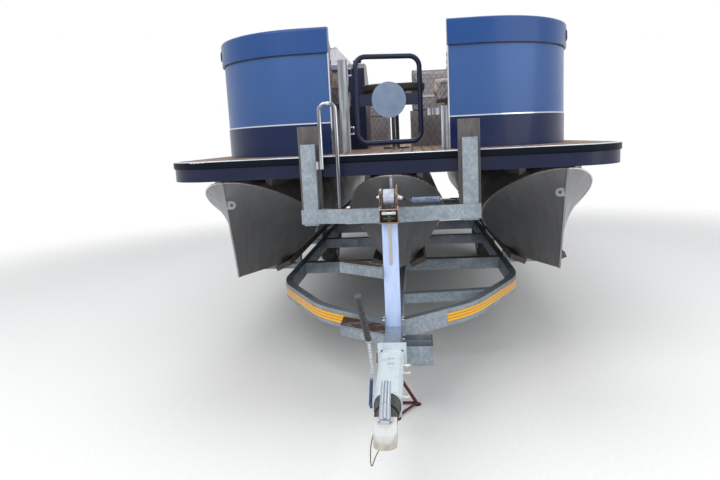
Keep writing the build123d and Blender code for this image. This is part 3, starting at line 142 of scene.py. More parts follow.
def make_world():
    """Soft bluish light. Camera, glossy and transmission rays see plain white instead."""
    world = bpy.data.worlds.new("studio")
    scene.world = world
    world.use_nodes = True
    tree = world.node_tree
    shade = tree.nodes["Background"]
    shade.inputs["Color"].default_value = (0.93, 0.96, 1.0, 1)
    shade.inputs["Strength"].default_value = 0.5
    white = tree.nodes.new("ShaderNodeBackground")
    white.inputs["Color"].default_value = (1, 1, 1, 1)
    path = tree.nodes.new("ShaderNodeLightPath")
    seen = path.outputs["Is Camera Ray"]
    for name in ("Is Glossy Ray", "Is Transmission Ray"):
        either = tree.nodes.new("ShaderNodeMath")
        either.operation = "MAXIMUM"
        tree.links.new(seen, either.inputs[0])
        tree.links.new(path.outputs[name], either.inputs[1])
        seen = either.outputs[0]
    mix = tree.nodes.new("ShaderNodeMixShader")
    for source, socket in zip((seen, shade.outputs[0], white.outputs[0]), mix.inputs):
        tree.links.new(source, socket)
    tree.links.new(mix.outputs[0], tree.nodes["World Output"].inputs["Surface"])


def make_lamps():
    for name, place, target, power in LAMPS:
        data = bpy.data.lights.new(name, "AREA")
        data.shape = "DISK"
        data.size = LAMP_SIZE
        data.energy = power
        lamp = linked(name, data)
        lamp.location = place
        lamp.rotation_euler = (Vector(target) - Vector(place)).to_track_quat("-Z", "Y").to_euler()


def make_floor():
    bm = bmesh.new()
    bmesh.ops.create_circle(bm, cap_ends=True, segments=96, radius=FLOOR_R)
    floor = linked("floor", meshed("floor", bm))
    look = Look("floor", FLOOR_TONE, 0.9)
    speckle = look.noise(0.02, 3)
    look.colour(look.mottled(speckle, FLOOR_DARK, FLOOR_PALE))
    look.bump(speckle, 0.0004)
    mix = look.add("ShaderNodeMixShader")
    distance = look.add("ShaderNodeVectorMath", operation="LENGTH")
    look.join(look.place, distance.inputs[0])
    fade = look.remap(distance.outputs["Value"], FLOOR_R - FLOOR_FADE, FLOOR_R - 0.1, 0, 1)
    clear = look.add("ShaderNodeBsdfTransparent")
    for source, socket in zip((fade, look.shader.outputs[0], clear.outputs[0]), mix.inputs):
        look.join(source, socket)
    look.join(mix.outputs[0], look.tree.nodes["Material Output"].inputs["Surface"])
    floor.data.materials.append(look.material)


# Materials
def tinted(colour, factor):
    return tuple(min(1, c * factor) for c in colour)


class Look:
    """A material: one principled shader, with textures added by short calls."""

    def __init__(self, name, colour, rough, metal=0.0, **fixed):
        self.material = bpy.data.materials.new(name)
        self.material.use_nodes = True
        self.tree = self.material.node_tree
        self.shader = self.tree.nodes["Principled BSDF"]
        self.relief = None
        values = {"Base Color": (*colour, 1), "Roughness": rough, "Metallic": metal}
        values.update({key.replace("_", " ").title().replace("Ior", "IOR"): value for key, value in fixed.items()})
        for key, value in values.items():
            self.shader.inputs[key].default_value = value
        coords = self.add("ShaderNodeTexCoord")
        self.place, self.facing, self.uv = (coords.outputs[name] for name in ("Object", "Normal", "UV"))

    def add(self, kind, **settings):
        node = self.tree.nodes.new(kind)
        for key, value in settings.items():
            setattr(node, key, value)
        return node

    def join(self, value, socket):
        """Links a socket or sets a plain value."""
        if isinstance(value, bpy.types.NodeSocket):
            self.tree.links.new(value, socket)
        elif isinstance(value, tuple):
            socket.default_value = (*value, 1)
        else:
            socket.default_value = value

    def texture(self, kind, size, stretch):
        """Texture with features of a size, drawn out along each axis by stretch."""
        scale = self.add("ShaderNodeMapping")
        self.join(self.place, scale.inputs["Vector"])
        scale.inputs["Scale"].default_value = [1 / (size * s) for s in stretch]
        node = self.add(kind)
        self.join(scale.outputs[0], node.inputs["Vector"])
        node.inputs["Scale"].default_value = 1
        return node

    def noise(self, size, detail=3.0, stretch=(1, 1, 1), rough=0.5):
        node = self.texture("ShaderNodeTexNoise", size, stretch)
        node.inputs["Detail"].default_value = detail
        node.inputs["Roughness"].default_value = rough
        return node.outputs["Fac"]

    def cells(self, size, output="Distance", stretch=(1, 1, 1)):
        return self.texture("ShaderNodeTexVoronoi", size, stretch).outputs[output]

    def axis(self, name, source=None):
        node = self.add("ShaderNodeSeparateXYZ")
        self.join(source or self.place, node.inputs[0])
        return node.outputs[name]

    def calc(self, operation, a, b=0.0):
        node = self.add("ShaderNodeMath", operation=operation)
        self.join(a, node.inputs[0])
        self.join(b, node.inputs[1])
        return node.outputs[0]

    def remap(self, value, low, high, to_low, to_high):
        node = self.add("ShaderNodeMapRange", interpolation_type="SMOOTHSTEP")
        for socket, number in zip(node.inputs[:5], (value, low, high, to_low, to_high)):
            self.join(number, socket)
        return node.outputs[0]

    def upward(self, low, high):
        """0 to 1 as the surface turns up."""
        return self.remap(self.axis("Z", self.facing), low, high, 0, 1)

    def ramp(self, value, *stops):
        node = self.add("ShaderNodeValToRGB")
        self.join(value, node.inputs[0])
        elements = node.color_ramp.elements
        while len(elements) < len(stops):
            elements.new(0.5)
        for element, (place, colour) in zip(elements, stops):
            element.position = place
            element.color = (*colour, 1)
        return node.outputs["Color"]

    def mottled(self, field, dark, light):
        """Two colours that follow a texture's valleys and crests."""
        return self.ramp(field, (0.3, dark), (0.7, light))

    def mix(self, value, a, b, blend="MIX"):
        node = self.add("ShaderNodeMix", data_type="RGBA", blend_type=blend)
        for source, socket in zip((value, a, b), (node.inputs[0], node.inputs[6], node.inputs[7])):
            self.join(source, socket)
        return node.outputs[2]

    def over(self, base, colour, field, low, high, amount):
        """Lays a colour over the base where a texture rises from low to high."""
        return self.mix(self.remap(field, low, high, 0, amount), base, colour)

    def lines(self, value, pitch, width):
        """1 on evenly spaced lines of a width across a coordinate, 0 between them."""
        part = self.calc("FRACT", self.calc("DIVIDE", value, pitch))
        off = self.calc("ABSOLUTE", self.calc("SUBTRACT", part, 0.5))
        return self.remap(off, 0.5 - width / pitch, 0.5 - 0.4 * width / pitch, 0, 1)

    def colour(self, value):
        self.join(value, self.shader.inputs["Base Color"])

    def rough(self, value, low, high):
        self.join(self.remap(value, 0.25, 0.75, low, high), self.shader.inputs["Roughness"])

    def metal(self, value):
        self.join(value, self.shader.inputs["Metallic"])

    def bump(self, height, depth):
        """Adds relief of a depth in metres to what the surface has."""
        node = self.add("ShaderNodeBump")
        node.inputs["Strength"].default_value = 1
        node.inputs["Distance"].default_value = depth
        self.join(height, node.inputs["Height"])
        if self.relief:
            self.join(self.relief, node.inputs["Normal"])
        self.relief = node.outputs[0]
        self.join(self.relief, self.shader.inputs["Normal"])

    def soft_edges(self, radius):
        """Rounds the look of the piece's edges."""
        node = self.add("ShaderNodeBevel", samples=4)
        node.inputs["Radius"].default_value = radius
        self.relief = node.outputs[0]
        self.join(self.relief, self.shader.inputs["Normal"])


def gloss_paint(name, colour, dust=0.5, metal=0.0):
    """Painted or gel-coated panel under clear coat, with dust specks and a thin dusty film."""
    look = Look(name, colour, 0.36, metal, coat_weight=0.13, coat_roughness=0.09, specular_ior_level=0.2)
    film = look.noise(0.35, 4)
    base = look.over(colour, tuple(c * 0.8 + 0.05 for c in colour), film, 0.45, 0.8, 0.3 * dust)
    spots = look.calc("LESS_THAN", look.cells(0.018), 0.055)
    chosen = look.remap(look.noise(0.05, 2), 0.55, 0.62, 0, dust)
    look.colour(look.mix(look.calc("MULTIPLY", spots, chosen), base, (0.35, 0.37, 0.42)))
    look.rough(film, 0.24, 0.42)
    look.bump(look.noise(0.012, 2), 0.00005)
    return look


def galvanised(name, rust=0.0, tint=(0.27, 0.315, 0.36), spangle=0.011):
    """Hot-dip zinc: spangles, dull patches, white runs and, where asked, rust on upward faces."""
    look = Look(name, tint, 0.5, 0.55)
    look.soft_edges(0.0025)
    grain = look.cells(spangle, "Color", (1, 1, 1.4))
    patch = look.noise(0.13, 5, (1, 1, 0.7))
    grime = look.noise(0.09, 6, rough=0.7)
    base = look.mix(look.axis("X", grain), tinted(tint, 0.84), tinted(tint, 1.16))
    base = look.over(base, tinted(tint, 0.66), patch, 0.42, 0.68, 0.45)
    base = look.over(base, (0.5, 0.53, 0.56), look.noise(0.045, 4), 0.6, 0.78, 0.4)
    base = look.over(base, (0.16, 0.125, 0.1), grime, 0.56, 0.74, 0.35)
    if rust:
        spread = look.remap(look.noise(0.06, 5, (1.6, 1, 1)), 0.66 - 0.3 * rust, 0.78 - 0.3 * rust, 0, 0.92)
        brown = look.mottled(look.noise(0.02, 4), (0.06, 0.03, 0.024), (0.2, 0.1, 0.065))
        base = look.mix(look.calc("MULTIPLY", look.upward(0.6, 0.9), spread), base, brown)
    look.colour(base)
    look.metal(look.remap(grime, 0.5, 0.75, 0.6, 0.2))
    look.rough(patch, 0.4, 0.66)
    look.bump(look.noise(0.03, 4), 0.0005)
    return look


def steel(name, colour, rough=0.22, grain=0.15, dirt=0.25):
    """Polished or plated metal with fine lines and a little dirt."""
    look = Look(name, colour, rough, 1.0)
    look.colour(look.over(colour, tinted(colour, 0.35), look.noise(0.05, 5, rough=0.6), 0.52, 0.75, dirt))
    look.rough(look.noise(0.004, 2, (1, 1, 14)), rough - 0.06, rough + grain)
    look.bump(look.noise(0.01, 3), 0.00012)
    return look


def painted_reflection_steel():
    """Polished stainless tube, banded darker and lighter along its length by painted reflections."""
    look = Look("polished_steel", (0.35, 0.36, 0.39), 0.16, 1.0)
    patch = look.noise(0.2, 3)
    # Painted reflection: dark and light streaks drawn out along the length stand for the surroundings that the steel
    # mirrors.
    base = look.ramp(look.noise(0.016, 3, (1, 1, 30)), (0.38, (0.1, 0.105, 0.12)), (0.5, (0.26, 0.27, 0.3)),
                     (0.64, (0.6, 0.61, 0.65)))
    look.colour(look.over(base, (0.24, 0.25, 0.29), patch, 0.4, 0.7, 0.5))
    look.rough(patch, 0.1, 0.22)
    look.bump(look.noise(0.01, 3), 0.00012)
    return look


def float_aluminium(name, tone=1.0):
    """Dull brushed aluminium: vertical streaks, handling marks and brown dirt towards the keel. A tone below 1 darkens
    all of it as painted shade.
    """
    look = Look(name, (0.3, 0.3, 0.3), 0.4, 0.8)
    cloud = look.noise(0.32, 5)
    base = look.mottled(look.noise(0.05, 4, (1, 1, 9)), (0.25, 0.254, 0.27), (0.335, 0.34, 0.358))
    base = look.over(base, (0.27, 0.262, 0.255), cloud, 0.42, 0.68, 0.5)
    low = look.remap(look.axis("Z"), TUBE_Z - 0.30, TUBE_Z - 0.08, 1, 0)
    mud = look.calc("MULTIPLY", low, look.remap(look.noise(0.07, 5, (1, 2, 0.8)), 0.42, 0.64, 0, 0.7))
    base = look.mix(mud, base, (0.12, 0.088, 0.062))
    scratch = look.calc("LESS_THAN", look.cells(0.07, stretch=(1, 4, 0.6)), 0.02)
    base = look.mix(scratch, base, (0.5, 0.5, 0.5))
    # tone scales the whole colour down: painted shade for a shaded copy of the material.
    look.colour(look.mix(1.0, base, (tone, tone, tone), "MULTIPLY"))
    look.metal(look.remap(mud, 0, 0.8, 0.75, 0.1))
    look.rough(cloud, 0.36, 0.52)
    look.bump(look.noise(0.5, 3), 0.004)
    look.bump(look.noise(0.003, 2, (1, 1, 10)), 0.00008)
    return look


def timber(name, along, tone):
    """Weathered plank: grain drawn out along one axis, knots, checks and grey bleaching."""
    stretch = tuple(9 if a == along else 1 for a in "XYZ")
    look = Look(name, tone, 0.85)
    look.soft_edges(0.003)
    grain = look.noise(0.014, 5, stretch, 0.65)
    wide = look.noise(0.05, 3, tuple(s * 0.8 for s in stretch))
    base = look.ramp(grain, (0.32, tinted(tone, 0.45)), (0.52, tone), (0.7, tinted(tone, 1.35)))
    base = look.over(base, tinted(tone, 0.6), wide, 0.45, 0.7, 0.55)
    knot = look.cells(0.17, stretch=tuple(1.6 if a == along else 1 for a in "XYZ"))
    look.colour(look.mix(look.remap(knot, 0.05, 0.11, 0.85, 0), base, (0.045, 0.03, 0.022)))
    look.rough(grain, 0.7, 0.95)
    look.bump(grain, 0.0016)
    return look


BOARD, BOARD_LEN = 0.062, 0.31
JOINT = 0.007          # width of the dark joints in the deck


def deck_boards():
    """Teak-look boards along the deck with dark joints, cross joints and a fibrous surface."""
    look = Look("deck_vinyl", (0.22, 0.13, 0.08), 0.6)
    fibre = look.noise(0.006, 4, (1, 22, 1))
    base = look.mottled(fibre, (0.13, 0.075, 0.045), (0.3, 0.185, 0.115))
    base = look.over(base, (0.34, 0.23, 0.16), look.noise(0.11, 2, (0.5, 6, 1)), 0.4, 0.65, 0.5)
    joint = look.calc("MAXIMUM", look.lines(look.axis("X"), BOARD, JOINT), look.lines(look.axis("Y"), BOARD_LEN, JOINT))
    look.colour(look.mix(joint, base, (0.018, 0.016, 0.015)))
    look.rough(fibre, 0.5, 0.75)
    look.bump(look.calc("SUBTRACT", 1.0, joint), 0.0016)
    look.bump(fibre, 0.0003)
    return look


def diamonds(look, u, v, pitch, width):
    """1 along two crossing families of lines."""
    return look.calc("MAXIMUM", *(look.lines(look.calc(way, u, v), pitch, width) for way in ("ADD", "SUBTRACT")))


QUILT = 0.080          # height of the quilting's diamonds
QUILT_SLIM = 1.6       # height over width
THREAD = 0.0055
GROOVE = 0.016         # width of the valley that a seam presses in
STITCH = 0.009


def vinyl(name, colour, quilt):
    """Marine vinyl: fine pebble grain, soft creases, and double stitching where it is quilted, with painted shade along
    the seams.
    """
    look = Look(name, colour, 0.55, sheen_weight=0.15)
    cloud = look.noise(0.09, 4)
    base = look.mottled(cloud, tinted(colour, 0.84), tinted(colour, 1.12))
    if quilt:
        if quilt == "uv":
            u, v = look.axis("X", look.uv), look.axis("Y", look.uv)
        else:
            side = look.calc("GREATER_THAN", look.calc("ABSOLUTE", look.axis("X", look.facing)), 0.7)
            u = look.calc("ADD", look.calc("MULTIPLY", look.axis("Y"), side),
                          look.calc("MULTIPLY", look.axis("X"), look.calc("SUBTRACT", 1.0, side)))
            u, v = look.calc("MULTIPLY", u, QUILT_SLIM), look.axis("Z")
        dashes = look.lines(look.calc("ADD", u, v), STITCH, 0.004)
        thread = look.calc("MULTIPLY", diamonds(look, u, v, QUILT, THREAD), look.remap(dashes, 0, 1, 0.55, 1))
        # Painted shade: the colour darkens along the pressed-in seam valleys.
        base = look.mix(look.calc("MULTIPLY", diamonds(look, u, v, QUILT, 0.012), 0.3), base, tinted(colour, 0.6))
        base = look.mix(thread, base, (0.4, 0.37, 0.37))
        look.bump(look.calc("SUBTRACT", 1.0, diamonds(look, u, v, QUILT, GROOVE)), 0.003)
    look.colour(base)
    look.rough(cloud, 0.45, 0.65)
    look.bump(look.cells(0.0035), 0.0002)
    look.bump(look.noise(0.05, 3), 0.0015)
    return look


def rubber(name, colour=(0.025, 0.025, 0.027), dust=0.4):
    """Black rubber or moulded plastic with grey dust in its grain."""
    look = Look(name, colour, 0.6)
    film = look.noise(0.06, 5, rough=0.65)
    look.colour(look.mix(look.remap(film, 0.42, 0.72, 0.02, dust), colour, (0.13, 0.12, 0.11)))
    look.rough(film, 0.45, 0.8)
    look.bump(look.noise(0.004, 3), 0.00025)
    return look


def worn_paint(name, colour, under=(0.2, 0.19, 0.18), wear=0.5):
    """Brushed-on paint with chips, scuffs and grime."""
    look = Look(name, colour, 0.5)
    look.soft_edges(0.002)
    chip = look.remap(look.noise(0.018, 6, rough=0.7), 0.66 - 0.1 * wear, 0.7 - 0.08 * wear, 0, 1)
    grime = look.noise(0.06, 5)
    look.colour(look.mix(chip, look.over(colour, tinted(colour, 0.5), grime, 0.45, 0.75, 0.45), under))
    look.rough(grime, 0.38, 0.7)
    look.bump(look.calc("SUBTRACT", 1.0, chip), 0.0004)
    look.bump(look.noise(0.02, 3), 0.0004)
    return look


def chequered():
    """Rusty chequer plate, rubbed bright in patches."""
    look = galvanised("step_plate", rust=1.0)
    left = look.calc("LESS_THAN", look.axis("X"), 0.0)
    relief = diamonds(look, look.axis("X"), look.axis("Y"), 0.03, 0.009)
    look.bump(look.calc("MULTIPLY", relief, left), 0.0016)
    return look


TAPE_H = 0.052         # amber tape on the front frame
TAPE_LOW = FRAME_TOP - 0.076


def mark_tape():
    """Amber marking tape: three bands with thin dark lines and a honeycomb glow."""
    look = Look("marking_tape", (0.86, 0.43, 0.003), 0.4, coat_weight=0.2, coat_roughness=0.2)
    gap = look.lines(look.calc("SUBTRACT", look.axis("Z"), TAPE_LOW), TAPE_H / 3, 0.003)
    comb = look.cells(0.009)
    base = look.ramp(comb, (0.1, (0.9, 0.47, 0.004)), (0.6, (0.8, 0.38, 0.0)))
    base = look.over(base, (0.35, 0.17, 0.02), look.noise(0.07, 5), 0.55, 0.8, 0.3)
    look.colour(look.mix(gap, base, (0.3, 0.15, 0.01)))
    look.bump(comb, 0.0003)
    return look


def glass(name, colour, rough=0.03):
    look = Look(name, colour, rough, transmission_weight=0.85, ior=1.49)
    smear = look.noise(0.1, 4)
    look.colour(look.over(colour, tinted(colour, 0.8), smear, 0.4, 0.7, 0.3))
    look.rough(smear, rough, rough + 0.08)
    return look


def lens(name, colour):
    """Moulded lamp lens with ribs behind a clear face."""
    look = Look(name, colour, 0.15, coat_weight=1.0, transmission_weight=0.2)
    rib = look.lines(look.axis("X"), 0.012, 0.004)
    look.colour(look.mix(rib, colour, tuple(min(1, c * 1.6 + 0.03) for c in colour)))
    look.bump(rib, 0.0008)
    return look


def nosing():
    """Dark deck edge with a painted highlight, silvery and patchy, along its rounded top."""
    dark = (0.004, 0.006, 0.012)
    look = Look("edge_trim", dark, 0.4, specular_ior_level=0.08)
    # Painted highlight: the upward-facing top turns silvery and metallic, broken into patches by noise; the masks
    # rubbed and worn carry this highlight.
    rubbed = look.remap(look.noise(0.08, 5, (3, 3, 1)), 0.3, 0.55, 0.6, 1)
    worn = look.calc("MULTIPLY", look.upward(0.35, 0.7), rubbed)
    look.colour(look.mix(worn, dark, (0.6, 0.66, 0.72)))
    look.rough(look.noise(0.1, 3), 0.32, 0.5)
    look.metal(look.calc("MULTIPLY", worn, 0.7))
    return look


def disc_paint():
    """Blue-grey satin paint with fine scratches."""
    look = Look("bare_aluminium", (0.15, 0.2, 0.3), 0.35, 0.3)
    cloud = look.noise(0.07, 4)
    scratch = look.calc("LESS_THAN", look.cells(0.03, stretch=(5, 1, 0.4)), 0.03)
    look.colour(look.mix(scratch, look.mottled(cloud, (0.13, 0.18, 0.28), (0.19, 0.25, 0.36)), (0.42, 0.46, 0.5)))
    look.rough(cloud, 0.3, 0.45)
    look.bump(look.noise(0.01, 3), 0.0001)
    return look


def post_zinc_painted_sky_light():
    """Zinc on the winch post, its pale blue-white colour a painted sky light on shaded zinc, with faint runs."""
    look = Look("post_zinc_painted_sky_light", (0.46, 0.53, 0.7), 0.42, 0.35)
    look.soft_edges(0.003)
    runs = look.noise(0.02, 4, (1, 1, 7))
    cloud = look.noise(0.16, 4)
    base = look.mottled(runs, (0.42, 0.54, 0.82), (0.52, 0.64, 0.9))
    base = look.over(base, (0.56, 0.64, 0.8), cloud, 0.45, 0.7, 0.4)
    look.colour(look.over(base, (0.3, 0.33, 0.4), look.noise(0.03, 6, rough=0.7), 0.62, 0.74, 0.4))
    look.rough(cloud, 0.35, 0.55)
    look.bump(runs, 0.0004)
    return look


GRIP_Z = FRAME_TOP + 0.168


def lever_look():
    """Black grip above, worn steel rod, and blue paint near the pivot."""
    look = Look("lever_grip", (0.02, 0.02, 0.022), 0.5)
    z = look.axis("Z")
    grain = look.noise(0.012, 4)
    grip = look.calc("GREATER_THAN", z, GRIP_Z)
    rod = look.mottled(grain, (0.34, 0.36, 0.4), (0.5, 0.52, 0.56))
    rod = look.mix(look.remap(z, FRAME_TOP + 0.01, FRAME_TOP + 0.03, 1, 0), rod, (0.05, 0.08, 0.16))
    look.colour(look.mix(grip, rod, look.mottled(grain, (0.012, 0.012, 0.014), (0.05, 0.05, 0.055))))
    look.metal(look.calc("MULTIPLY", look.calc("SUBTRACT", 1.0, grip), 0.7))
    look.rough(grain, 0.35, 0.6)
    look.bump(look.lines(z, 0.012, 0.004), 0.0012)
    return look


def head_paint():
    """White paint on the cast head, yellowed and grimy round its foot. The handle on it is bare steel."""
    look = worn_paint("coupling_white", (0.54, 0.55, 0.54), (0.3, 0.26, 0.22), 0.3)
    white = look.shader.inputs["Base Color"].links[0].from_socket
    z = look.axis("Z")
    foot = look.remap(z, COUPLER_Z - 0.03, COUPLER_Z - 0.002, 1, 0)
    handle = look.calc("GREATER_THAN", z, COUPLER_Z + 0.0365)
    grime = look.mottled(look.noise(0.02, 5), (0.36, 0.32, 0.26), (0.56, 0.52, 0.44))
    bare = look.mottled(look.noise(0.02, 4), (0.2, 0.26, 0.36), (0.34, 0.4, 0.5))
    look.colour(look.mix(handle, look.mix(foot, white, grime), bare))
    look.metal(look.calc("MULTIPLY", handle, 0.7))
    return look


def webbing():
    """Woven strap: ribs across, fibres along, and grubby edges."""
    look = Look("strap_white", (0.6, 0.64, 0.72), 0.8, sheen_weight=0.3)
    rib = look.lines(look.axis("Y"), 0.0025, 0.001)
    base = look.mix(rib, (0.62, 0.67, 0.78), (0.45, 0.5, 0.6))
    look.colour(look.over(base, (0.3, 0.29, 0.3), look.noise(0.04, 5), 0.5, 0.75, 0.5))
    look.bump(rib, 0.0006)
    look.bump(look.noise(0.002, 2), 0.0003)
    return look


def crank_grip():
    """Blue paint rubbed thin on the crank's handle."""
    look = Look("crank_grip", (0.09, 0.13, 0.21), 0.4, 0.5)
    wear = look.noise(0.012, 5)
    look.colour(look.ramp(wear, (0.35, (0.07, 0.1, 0.17)), (0.7, (0.16, 0.21, 0.31))))
    look.rough(wear, 0.3, 0.5)
    look.bump(wear, 0.0004)
    return look


def cuff_rubber():
    """Bellows rubber: painted highlight on the crests of its folds, painted shade on their black flanks."""
    look = rubber("cuff_rubber", (0.035, 0.035, 0.04), 0.9)
    # Painted highlight and shade: pale grey where a face turns outwards, near black where it turns along the axis.
    flank = look.calc("ABSOLUTE", look.axis("Y", look.facing))
    look.colour(look.over((0.22, 0.22, 0.225), (0.012, 0.012, 0.014), flank, 0.2, 0.65, 1))
    look.rough(look.noise(0.02, 3), 0.2, 0.4)
    return look


# Building small pieces
def ring_angles(sides):
    return [2 * pi * i / sides for i in range(sides)]


class Shape:
    """A mesh piece made of simple forms, each with its own material."""

    def __init__(self):
        self.bm = bmesh.new()
        self.looks = []

    def paint(self, faces, look):
        if look not in self.looks:
            self.looks.append(look)
        for face in faces:
            face.material_index = self.looks.index(look)

    def finished(self, before, look, bevel):
        """Bevels and paints the form made since before."""
        if bevel:
            edges = dict.fromkeys(e for f in self.bm.faces if f not in before for e in f.edges)
            bmesh.ops.bevel(self.bm, geom=list(edges), offset=bevel, segments=2, affect="EDGES")
        self.paint([f for f in self.bm.faces if f not in before], look)

    def box(self, low, high, look, bevel=0.0):
        low, high = Vector(low), Vector(high)
        before = set(self.bm.faces)
        matrix = Matrix.Translation((low + high) / 2) @ Matrix.Diagonal((*(high - low), 1))
        bmesh.ops.create_cube(self.bm, size=1, matrix=matrix)
        self.finished(before, look, bevel)

    def plate(self, outline, depth, look, bevel=0.0):
        """Flat outline of 3-D points, thickened by a vector."""
        before = set(self.bm.faces)
        face = self.bm.faces.new([self.bm.verts.new(p) for p in outline])
        made = bmesh.ops.extrude_face_region(self.bm, geom=[face])
        moved = [g for g in made["geom"] if isinstance(g, bmesh.types.BMVert)]
        bmesh.ops.translate(self.bm, vec=Vector(depth), verts=moved)
        self.finished(before, look, bevel)

    def skin(self, rings, look, closed=False):
        """Faces from ring to ring, capped at open ends."""
        rings = [[self.bm.verts.new(p) for p in ring] for ring in rings]
        faces = [] if closed else [self.bm.faces.new(rings[0][::-1]), self.bm.faces.new(rings[-1])]
        for low, high in list(zip(rings, rings[1:])) + ([(rings[-1], rings[0])] if closed else []):
            for i in range(len(low)):
                j = (i + 1) % len(low)
                faces.append(self.bm.faces.new((low[i], low[j], high[j], high[i])))
        self.paint(faces, look)

    def lathe(self, profile, origin, axis, look, sides=32, closed=False):
        """Surface of revolution from (distance along the axis, radius) points."""
        turn = Vector(axis).to_track_quat("Z", "Y").to_matrix()
        self.skin([[Vector(origin) + turn @ Vector((r * cos(a), r * sin(a), along)) for a in ring_angles(sides)]
                   for along, r in profile], look, closed)

    def bar(self, p, q, r, look, sides=20, lip=0.0):
        """Round bar from p to q, its ends rounded by lip."""
        axis = Vector(q) - Vector(p)
        profile = [(0, r - lip), (lip, r), (axis.length - lip, r), (axis.length, r - lip)]
        self.lathe(profile if lip else [(0, r), (axis.length, r)], p, axis, look, sides)

    def tube(self, points, r, look, sides=10, closed=False):
        """Round bar along a line of points."""
        points = [Vector(p) for p in points]
        last = len(points) - 1
        rings = []
        normal = None
        for i, point in enumerate(points):
            if closed:
                tangent = points[(i + 1) % len(points)] - points[i - 1]
            else:
                tangent = points[min(i + 1, last)] - points[max(i - 1, 0)]
            tangent.normalize()
            if normal is None:
                normal = tangent.orthogonal()
            normal = (normal - tangent * normal.dot(tangent)).normalized()
            side = tangent.cross(normal)
            rings.append([point + (normal * cos(a) + side * sin(a)) * r for a in ring_angles(sides)])
        self.skin(rings, look, closed)

    def strip(self, line, z0, z1, look, thickness):
        """Upright band along a plan line, standing out to its left by a thickness."""
        self.skin([[at(x, y, z0), at(u, v, z0), at(u, v, z1), at(x, y, z1)]
                   for (x, y), (u, v) in zip(line, shifted(line, thickness))], look)

    def bolt(self, place, out, r, look, washer=True):
        """Hexagon head on a washer, standing out of a surface."""
        if washer:
            self.lathe([(0, r * 1.35), (r * 0.25, r * 1.35)], place, out, look, 20)
        self.lathe([(r * 0.2, r), (r * 0.8, r), (r * 0.95, r * 0.85)], place, out, look, 6)
        self.lathe([(r * 0.9, r * 0.5), (r * 1.5, r * 0.5), (r * 1.6, r * 0.4)], place, out, look, 12)

    def done(self, name, body="root"):
        """Makes the object, shades it smooth with sharp corners, and puts it on its body."""
        bmesh.ops.recalc_face_normals(self.bm, faces=self.bm.faces)
        for face in self.bm.faces:
            face.smooth = True
        for edge in self.bm.edges:
            edge.smooth = edge.calc_face_angle(0) < radians(38)
        piece = linked(name, meshed(name, self.bm))
        for look in self.looks:
            piece.data.materials.append(look.material)
        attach(piece, body)
        return piece


def dress(look, *nodes):
    """Gives CAD nodes a material."""
    for node in nodes:
        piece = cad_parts[node]
        if not piece.material_slots:
            piece.data.materials.append(look.material)
        for place in piece.material_slots:
            place.material = look.material


def rounded(points, radius, step=0.02):
    """Plan line with its corners turned into arcs, as a list of points."""
    line = [Vector(points[0])]
    for a, b, c in zip(points, points[1:], points[2:]):
        b = Vector(b)
        u, v = (Vector(a) - b).normalized(), (Vector(c) - b).normalized()
        half = u.angle(v) / 2
        centre = b + (u + v).normalized() * (radius / sin(half))
        cut = radius / sin(half) * cos(half)
        start, end = b + u * cut - centre, b + v * cut - centre
        sweep = start.angle(end)
        n = max(2, ceil(sweep * radius / step))
        side = (end - start * (start.dot(end) / start.dot(start))).normalized() * radius
        line += [centre + start * cos(sweep * i / n) + side * sin(sweep * i / n) for i in range(n + 1)]
    line.append(Vector(points[-1]))
    return [(p.x, p.y) for p in line]


def fence_run(inset, sign):
    """Plan line along one side of the fence, from the bow gate to the stern gate, brought in by inset."""
    bow, stern = FENCE_R_BOW - inset, FENCE_R_STERN - inset
    x0, y0 = FENCE_X - FENCE_R_BOW, FENCE_Y + FENCE_R_BOW
    x1, y1 = FENCE_X - FENCE_R_STERN, FENCE_END - FENCE_R_STERN

    def arc(r):
        n = ceil(r * pi / 2 / 0.03)
        return [pi / 2 * i / n for i in range(n + 1)]

    n = ceil((y1 - y0) / 0.3)
    line = [(GATE_HALF, FENCE_Y + inset)]
    line += [(x0 + bow * sin(a), y0 - bow * cos(a)) for a in arc(bow)]
    line += [(FENCE_X - inset, y0 + (y1 - y0) * i / n) for i in range(1, n)]
    line += [(x1 + stern * cos(a), y1 + stern * sin(a)) for a in arc(stern)]
    line.append((STERN_HALF, FENCE_END - inset))
    return [(sign * px, py) for px, py in line]


def shifted(line, distance):
    """Plan line moved to its left."""
    out = []
    last = len(line) - 1
    for i, (x, y) in enumerate(line):
        x0, y0 = line[max(i - 1, 0)]
        x1, y1 = line[min(i + 1, last)]
        d = hypot(x1 - x0, y1 - y0)
        out.append((x + (y0 - y1) / d * distance, y + (x1 - x0) / d * distance))
    return out


# Upholstery
VOXEL = 0.013
SWELL_FRAMES = 18
SWELL = 0.018          # most that a cushion's face moves out
SEAM = 0.003           # half of the gap between two cushions
WALL = 0.066           # cushions stay this far in from the fence's outer face
PUFF = 0.007           # depth of the quilting
WELT_R = 0.0045


def cut_solid(node, planes, corner):
    """The part of a CAD node's solids on the kept side of each (axis, place, sign) plane. A corner is the place
    and radius of the upright edge that is rounded, or None."""
    bm = bmesh.new()
    bm.from_mesh(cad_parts[node].data)
    bmesh.ops.remove_doubles(bm, verts=bm.verts, dist=1e-5)
    for axis, place, sign in planes:
        normal = Vector([sign if a == axis else 0 for a in "xyz"])
        point = at(*(place if a == axis else 0 for a in "xyz"))
        bmesh.ops.bisect_plane(bm, geom=bm.verts[:] + bm.edges[:] + bm.faces[:], plane_co=point + normal * SEAM,
                               plane_no=normal, clear_inner=True, dist=1e-6)
        bmesh.ops.holes_fill(bm, edges=[e for e in bm.edges if e.is_boundary], sides=0)
    if corner:
        place, radius = corner
        top = max(v.co.z for v in bm.verts)
        edges = [e for e in bm.edges if all(v.co.z > top - 1e-4 and abs(v.co.x - place) < 2 * SEAM for v in e.verts)]
        bmesh.ops.bevel(bm, geom=edges, offset=radius, segments=6, affect="EDGES", profile=0.5)
    bmesh.ops.recalc_face_normals(bm, faces=bm.faces)
    return bm


